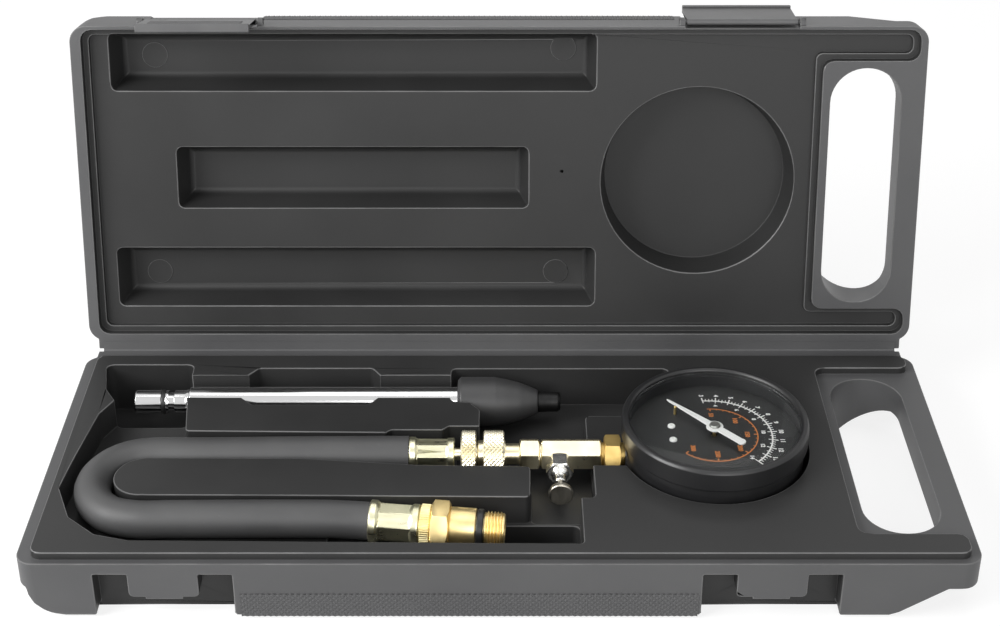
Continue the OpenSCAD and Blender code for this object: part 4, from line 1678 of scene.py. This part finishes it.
@dataclass
class Gauge:
    """The pressure gauge: housing, glass, printed dial and pointer.

    Attributes:
        centre: X and Y of the gauge's axis.
        dial_z: Height of the dial's face.
        print_z: Height of the print's middle above it.
        zero: Angle of the scales' zero, counted from +X to the left.
        white: The white arc's radius and width.
        orange: The orange arc's radius and width.
        white_span: Angles of the white arc's first and last tick, and of its ends.
        orange_span: Angles of the orange arc's ends.
        white_ticks: The ticks outside and inside the white arc.
        orange_ticks: The ticks inside the orange arc.
        orange_range: First and last value of the orange scale.
        outer_row: The outer numbers' radius, height and degrees to a unit.
        inner_row: The inner numbers' radius and height.
        inner_places: Each inner number with its angle.
        orange_row: The orange numbers' radius, height and degrees to a unit.
        screws: Each screw's name with its X and Y from the centre.
        pin: X and Y of the stop pin from the centre.
        lens_z: Height of the glass's lower face.
        lens_r: The glass's radius.
    """

    centre: tuple[float, float] = (86.4, 0.0)
    dial_z: float = 34.0
    print_z: float = 0.05
    zero: float = 135.0
    white: tuple[float, float] = (23.2, 0.6)
    orange: tuple[float, float] = (17.4, 0.45)
    white_span: Span = (96.0, -48.0)
    orange_span: Span = (94.0, -135.0)
    white_ticks: tuple[Ticks, ...] = (
        Ticks("outer_tick", 44, 4, (2.2, 1.3), (0.5, 0.3)),
        Ticks("inner_tick", 22, 2, (-1.6, -0.9), (0.35, 0.35)),
    )
    orange_ticks: Ticks = Ticks("orange_tick", 25, 5, (-1.5, -0.8), (0.5, 0.3))
    orange_range: tuple[int, int] = (50, 300)
    outer_row: Point = (27.0, 2.5, 13.05)
    inner_row: tuple[float, float] = (19.9, 2.3)
    inner_places: tuple[tuple[int, float], ...] = (
        (4, 83.0), (6, 57.0), (8, 31.0), (10, 4.5), (12, -21.6), (14, -48.0))
    orange_row: Point = (13.2, 2.6, 0.9)
    screws: tuple[tuple[str, float, float], ...] = (
        ("screw_a", -16.7, 5.4), ("screw_b", -16.7, -3.8))
    pin: tuple[float, float] = (-14.6, 14.0)
    lens_z: float = 40.1
    lens_r: float = 34.15

    def on_dial(self, x: float, y: float, rise: float = 0.0) -> Point:
        """Find a point of the dial from its centre."""
        return (self.centre[0] + x, self.centre[1] + y, self.dial_z + rise)

    def printed(self, piece: Obj, turn: float) -> Obj:
        """Thicken a flat mark to a print's height and put it on the dial.

        Args:
            piece: The mark, about the origin.
            turn: How far it is turned about the dial's centre.

        Returns:
            The mark in its place.
        """
        thick = piece.modifiers.new("ink", "SOLIDIFY")
        thick.thickness = 0.05 * MM
        thick.offset = 0.0
        finish_mesh(apply_all(piece), 20)
        return set_place(piece, at(*self.on_dial(0, 0, self.print_z)) @ swing(turn, "Z"))

    def arc(self, name: str, radius: float, width: float, span: Span) -> Obj:
        """Print a thin arc by spinning a short line round the dial's centre.

        Args:
            name: The arc's name.
            radius: Its radius.
            width: Its width.
            span: Angles of its ends.

        Returns:
            The arc.
        """
        piece = traced(name, [(radius - width / 2, 0, 0), (radius + width / 2, 0, 0)])
        sweep = abs(span[1] - span[0])
        with editing(piece):
            bpy.ops.mesh.spin(
                steps=round(sweep / 2), angle=math.radians(sweep), center=(0, 0, 0),
                axis=(0, 0, 1),
            )
        return self.printed(piece, max(span))

    def tick_row(self, row: Ticks, radius: float, span: Span) -> list[Obj]:
        """Print a row of ticks as thin bars that point to the centre.

        Args:
            row: The row.
            radius: Radius of the arc that it stands on.
            span: Angles of its first and its last tick.

        Returns:
            The ticks.
        """
        made = []
        for step in range(row.count + 1):
            short = int(step % row.every != 0)
            length = row.lengths[short]
            put_down()
            bpy.ops.mesh.primitive_grid_add(x_subdivisions=2, y_subdivisions=1, size=MM)
            piece = named(row.name)
            piece.scale = (abs(length), row.widths[short], 1.0)
            piece.location.x = (radius + length / 2) * MM
            angle = span[0] + (span[1] - span[0]) * step / row.count
            made.append(self.printed(settle(piece), angle))
        return made

    def number(self, value: int, radius: float, angle: float, size: float) -> Obj:
        """Print one number upright for a reader at the tester's fitting.

        Args:
            value: The number.
            radius: How far it stands from the dial's centre.
            angle: In which direction.
            size: Its height.

        Returns:
            The number.
        """
        put_down()
        bpy.ops.object.text_add()
        label = bpy.context.object
        label.data.body = str(value)
        label.data.size = size * MM
        label.data.align_x, label.data.align_y = "CENTER", "CENTER"
        label.data.extrude = 0.02 * MM
        label.data.offset = 0.035 * size * MM
        label.data.resolution_u = 3
        bpy.ops.object.convert(target="MESH")
        piece = finish_mesh(named(f"mark_{value}"), 20)
        turn = math.radians(angle)
        point = self.on_dial(radius * math.cos(turn), radius * math.sin(turn), self.print_z)
        return set_place(piece, at(*point) @ swing(-90, "Z"))

    def white_marks(self) -> list[Obj]:
        """Print the white scale: arc, ticks both ways and two rows of numbers.

        Returns:
            The marks.
        """
        marks = [self.arc("white_arc", *self.white, self.white_span)]
        for row in self.white_ticks:
            marks += self.tick_row(row, self.white[0], self.white_span)
        radius, size, unit = self.outer_row
        marks += [self.number(v, radius, self.zero - unit * v, size) for v in range(3, 15)]
        radius, size = self.inner_row
        return marks + [self.number(v, radius, angle, size) for v, angle in self.inner_places]

    def orange_marks(self) -> list[Obj]:
        """Print the orange scale: arc, ticks inwards and its numbers.

        Returns:
            The marks.
        """
        marks = [self.arc("orange_arc", *self.orange, self.orange_span)]
        radius, size, unit = self.orange_row
        first, last = self.orange_range
        ends = (self.zero - unit * first, self.zero - unit * last)
        marks += self.tick_row(self.orange_ticks, self.orange[0], ends)
        return marks + [
            self.number(v, radius, self.zero - unit * v, size) for v in range(first, last + 1, 50)]

    def screw(self, name: str, x: float, y: float) -> Obj:
        """Turn one cross-slotted screw head that holds the dial.

        Args:
            name: The screw's name.
            x: Its place from the dial's centre.
            y: The same, in Y.

        Returns:
            The screw.
        """
        head = turned(name, [(0.0, 0.0), (0.0, 1.55), (0.5, 1.5), (0.8, 1.1), (0.9, 0.0)], 32)
        for axis in (1, 2):
            slot = rod("slot", (0.4, 1.5), 0.4, 4)
            slot.scale[axis] = 2.6
            cut_with(head, settle(slot))
        return upright(finish_mesh(head, 30), *self.on_dial(x, y))

    def stop_pin(self) -> Obj:
        """Turn the pin that stops the pointer at nothing."""
        pin = turned("stop_pin", [(0.0, 0.0), (0.0, 0.6), (3.6, 0.6), (3.9, 0.3), (3.9, 0.0)], 24)
        return upright(pin, *self.on_dial(*self.pin))

    def build_dial(self) -> list[Obj]:
        """Print the dial and set its screws and stop pin.

        Returns:
            The marks, joined by colour, and the small metal pieces.
        """
        made = []
        for name, marks, finish in (
            ("dial_white_marks", self.white_marks(), SCALE_WHITE),
            ("dial_orange_marks", self.orange_marks(), SCALE_ORANGE),
            ("dial_screws", [self.screw(*screw) for screw in self.screws], SCALE_WHITE),
            ("stop_pin", [self.stop_pin()], MOVEMENT),
        ):
            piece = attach(joined(name, *marks), body_of("dial_plate"))
            made.append(dress(piece, finish))
        return made

    def build_lens(self) -> Obj:
        """Turn the slightly domed glass.

        Returns:
            The lens.
        """
        z, r = self.lens_z, self.lens_r
        lens = turned("gauge_lens_finished", [
            (z, 0.0), (z, r), (z + 1.1, r), (z + 1.2, r - 0.3), (z + 1.55, r * 0.7),
            (z + 1.75, r * 0.35), (z + 1.8, 0.0)], 96)
        upright(lens, *self.centre)
        lens.data.materials.clear()
        lens.data.materials.append(clear_glass())
        return stands_for(lens, "gauge_lens")

    def build(self) -> list[Obj]:
        """Build the whole gauge.

        Returns:
            Its pieces.
        """
        made = [
            dress(rounded_copy("gauge_case", 0.4), GAUGE),
            dress(rounded_copy("gauge_bezel", 0.3, 3), GAUGE),
            dress(rounded_copy("dial_plate", 0.15), DIAL),
            dress(rounded_copy("pointer", 0.12), POINTER),
            dress(rounded_copy("pointer_cap", 0.15), CAP),
        ]
        return [*made, *self.build_dial(), self.build_lens()]


@dataclass(frozen=True)
class Grip:
    """A field of small lozenges on the front wall of a closed half.

    Attributes:
        name: The piece's name.
        node: The half that it is on.
        width: Its ends in X.
        height: Its ends in Z.
        pitch: Distance between neighbouring lozenges.
        rise: How far their points stand out.
    """

    name: str
    node: str
    width: Span
    height: Span
    pitch: float = 2.2
    rise: float = 0.4

    def raised(self, wall: float) -> Obj:
        """Raise the field on a wall.

        Args:
            wall: Y of the wall.

        Returns:
            The field.
        """
        (x0, x1), (z0, z1) = self.width, self.height
        sheet = lozenge_sheet(self.name, x1 - x0, z1 - z0, self.pitch, self.rise)
        stand = at((x0 + x1) / 2, wall - 0.02, (z0 + z1) / 2)
        return set_place(sheet, stand @ swing(90, "X"))


@dataclass
class Case:
    """The moulded case: two halves, latches, hinge strip and the grips in its walls.

    Attributes:
        hinge: Y and Z of the hinge line.
        opened: How far the lid stands open.
        wall: Y of the front wall.
        mark: X and Y of the lid's pin mark, with the lid closed.
        mark_r: The pin mark's radius.
        inside_x: Ends of the tray in X.
        inside_y: Ends of the tray in Y.
        hand_hole: X of the hand hole, half its straight length, and its radius.
        base_inside: Lowest and highest face of the base that counts as inside.
        lid_inside: The same of the closed lid.
        base_rim: Height of the base's rim.
        lid_rim: Height of the closed lid's rim.
        strip: The hinge strip's section, round from its front lower edge.
        strip_x: The strip's ends.
        grips: The grip of each half.
    """

    hinge: tuple[float, float] = (74.5, 26.15)
    opened: float = 102.0
    wall: float = -70.0
    mark: tuple[float, float] = (26.9, -5.5)
    mark_r: float = 0.8
    inside_x: Span = (-176.0, 177.5)
    inside_y: Span = (-68.4, 67.2)
    hand_hole: Point = (155.0, 37.0, 16.2)
    base_inside: Span = (4.0, 29.3)
    lid_inside: Span = (26.0, 49.0)
    base_rim: float = 26.0
    lid_rim: float = 26.3
    strip: Outline = (
        (70.4, 26.0), (74.0, 26.0), (74.35, 26.05), (74.62, 26.3), (74.78, 26.8), (75.5, 30.3),
        (75.32, 30.34), (74.6, 26.9), (74.42, 26.42), (74.22, 26.2), (73.95, 26.13), (70.4, 26.13))
    strip_x: Span = (-174.0, 174.0)
    grips: tuple[Grip, Grip] = (
        Grip("base_grip", "case_base", (-96.8, 74.6), (1.2, 11.8)),
        Grip("lid_grip", "case_lid", (-100.5, 74.6), (41.2, 49.0)))

    def lid_place(self) -> Matrix:
        """Give the matrix that swings the closed lid open."""
        return at(0, *self.hinge) @ swing(-self.opened, "X") @ at(0, *self.hinge).inverted()

    def close_mark(self, piece: Obj) -> None:
        """Close the lid's small pin mark, so that it can be drilled after the rounding.

        Args:
            piece: The lid's merged copy.
        """
        inverse = self.lid_place().inverted()
        middle = Vector(self.mark) * MM
        with editing(piece):
            bpy.ops.mesh.select_all(action="DESELECT")
        for vertex in piece.data.vertices:
            vertex.select = ((inverse @ vertex.co).xy - middle).length < 1.5 * self.mark_r * MM
        bpy.ops.object.mode_set(mode="EDIT")
        bpy.ops.mesh.delete(type="VERT")
        bpy.ops.mesh.select_all(action="DESELECT")
        bpy.ops.mesh.select_non_manifold()
        bpy.ops.mesh.edge_face_add()
        bpy.ops.mesh.quads_convert_to_tris()
        bpy.ops.object.mode_set(mode="OBJECT")

    def drill_mark(self, piece: Obj) -> None:
        """Drill the lid's pin mark again."""
        drill = rod("drill", (30.0, 36.0), self.mark_r, 24)
        cut_with(piece, set_place(drill, self.lid_place() @ at(*self.mark, 0) @ swing(-90, "Y")))

    def line_tray(self, piece: Obj, place: Matrix, rim: float, inside_z: Span) -> Obj:
        """Paint shade into the faces inside a half with a darker finish, but not into its flat rim; its
        rounded outer edges get a painted highlight.

        Args:
            piece: The dressed half, with its face attribute that marks the painted highlight.
            place: The matrix that took it from closed to where it is.
            rim: Height of the half's rim, closed.
            inside_z: Lowest and highest face that counts as inside.

        Returns:
            The same half.
        """
        # Slot 1 holds the painted shade of the trays, slot 2 the painted highlight of the outer edges.
        for finish in (PAINTED_SHADE, PAINTED_HIGHLIGHT):
            piece.data.materials.append(finish.material())
        marks = piece.data.attributes["painted_highlight"]
        painted_highlight = [mark.value for mark in marks.data]
        piece.data.attributes.remove(marks)
        inverse = place.inverted()
        limits = (self.inside_x, self.inside_y, inside_z)
        hole_x, straight, hole_r = self.hand_hole
        for face in piece.data.polygons:
            x, y, z = spot = inverse @ face.center / MM
            inside = all(low < c < high for c, (low, high) in zip(spot, limits))
            in_hole = math.hypot(x - hole_x, max(0.0, abs(y) - straight)) < hole_r
            on_rim = abs(z - rim) < 0.1 and abs((inverse.to_3x3() @ face.normal).z) > 0.9
            # Faces inside a tray, off the lit rim, take the painted shade.
            shaded = inside and not in_hole and not on_rim
            # Marked outer edges take the painted highlight instead.
            face.material_index = 2 if painted_highlight[face.index] else int(shaded)
        return piece

    def build_halves(self) -> list[Obj]:
        """Round the base and the lid, drill the lid's pin mark, and paint shade into both trays and
        highlights on their rounded outer edges.

        Returns:
            The base and the lid.
        """
        base = dress(rounded_copy("case_base", 0.4, weighed=True), CASE)
        lid = rounded_copy(
            "case_lid", 0.4, weighed=True, mend=self.close_mark, drill=self.drill_mark)
        return [
            self.line_tray(base, Matrix.Identity(4), self.base_rim, self.base_inside),
            self.line_tray(dress(lid, CASE), self.lid_place(), self.lid_rim, self.lid_inside),
        ]

    def build_hinge(self) -> Obj:
        """Draw the thin strip that bends between the rims.

        Returns:
            The strip.
        """
        strip = dress(drawn("hinge_strip", self.strip, self.strip_x, 24), CASE)
        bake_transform(strip, "case", "lid", (0, 0.07415, 0.02605), (0, 0.0747, 0.0267))
        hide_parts("hinge_web")
        return strip

    def build_grips(self) -> list[Obj]:
        """Set one grip in each half.

        Returns:
            The grips.
        """
        made = []
        for grip, place in zip(self.grips, (Matrix.Identity(4), self.lid_place())):
            piece = set_place(grip.raised(self.wall), place)
            made.append(dress(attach(piece, body_of(grip.node)), CASE))
            pick_up(piece)
            bpy.ops.object.shade_flat()
        return made

    def build(self) -> list[Obj]:
        """Round and dress the halves and the latches, and add the strip and the grips.

        Returns:
            The case's pieces.
        """
        halves, strip = self.build_halves(), self.build_hinge()
        latches = [
            dress(rounded_copy(node, 0.3), LATCH) for node in ("latch_left", "latch_right")]
        return [*halves, strip, *latches, *self.build_grips()]


ON_HOSE = ("ferrule_lower", "adaptor_seal", "valve_core", "adaptor_body", "swivel_ring")


def made_by(part: object) -> list[Obj]:
    """Build a sub-assembly and report each of its pieces.

    Args:
        part: The sub-assembly.

    Returns:
        Its pieces.
    """
    pieces = part.build()
    for piece in pieces:
        faces = len(piece.data.polygons)
        LOG.info("%s: %s, %d faces", type(part).__name__.lower(), piece.name, faces)
    return pieces


def main() -> None:
    """Build the stage and every sub-assembly."""
    logging.basicConfig(level=logging.INFO, format="%(message)s")
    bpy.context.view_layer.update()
    Studio().build()
    pieces = [*made_by(PlugAdaptor()), *made_by(Fittings())]
    carried = [p for p in pieces if p.name.removesuffix("_finished") in ON_HOSE]
    for part in (Hose(carried), Case(), Gauge(), Coupler()):
        made_by(part)


if __name__ == "__main__":
    main()
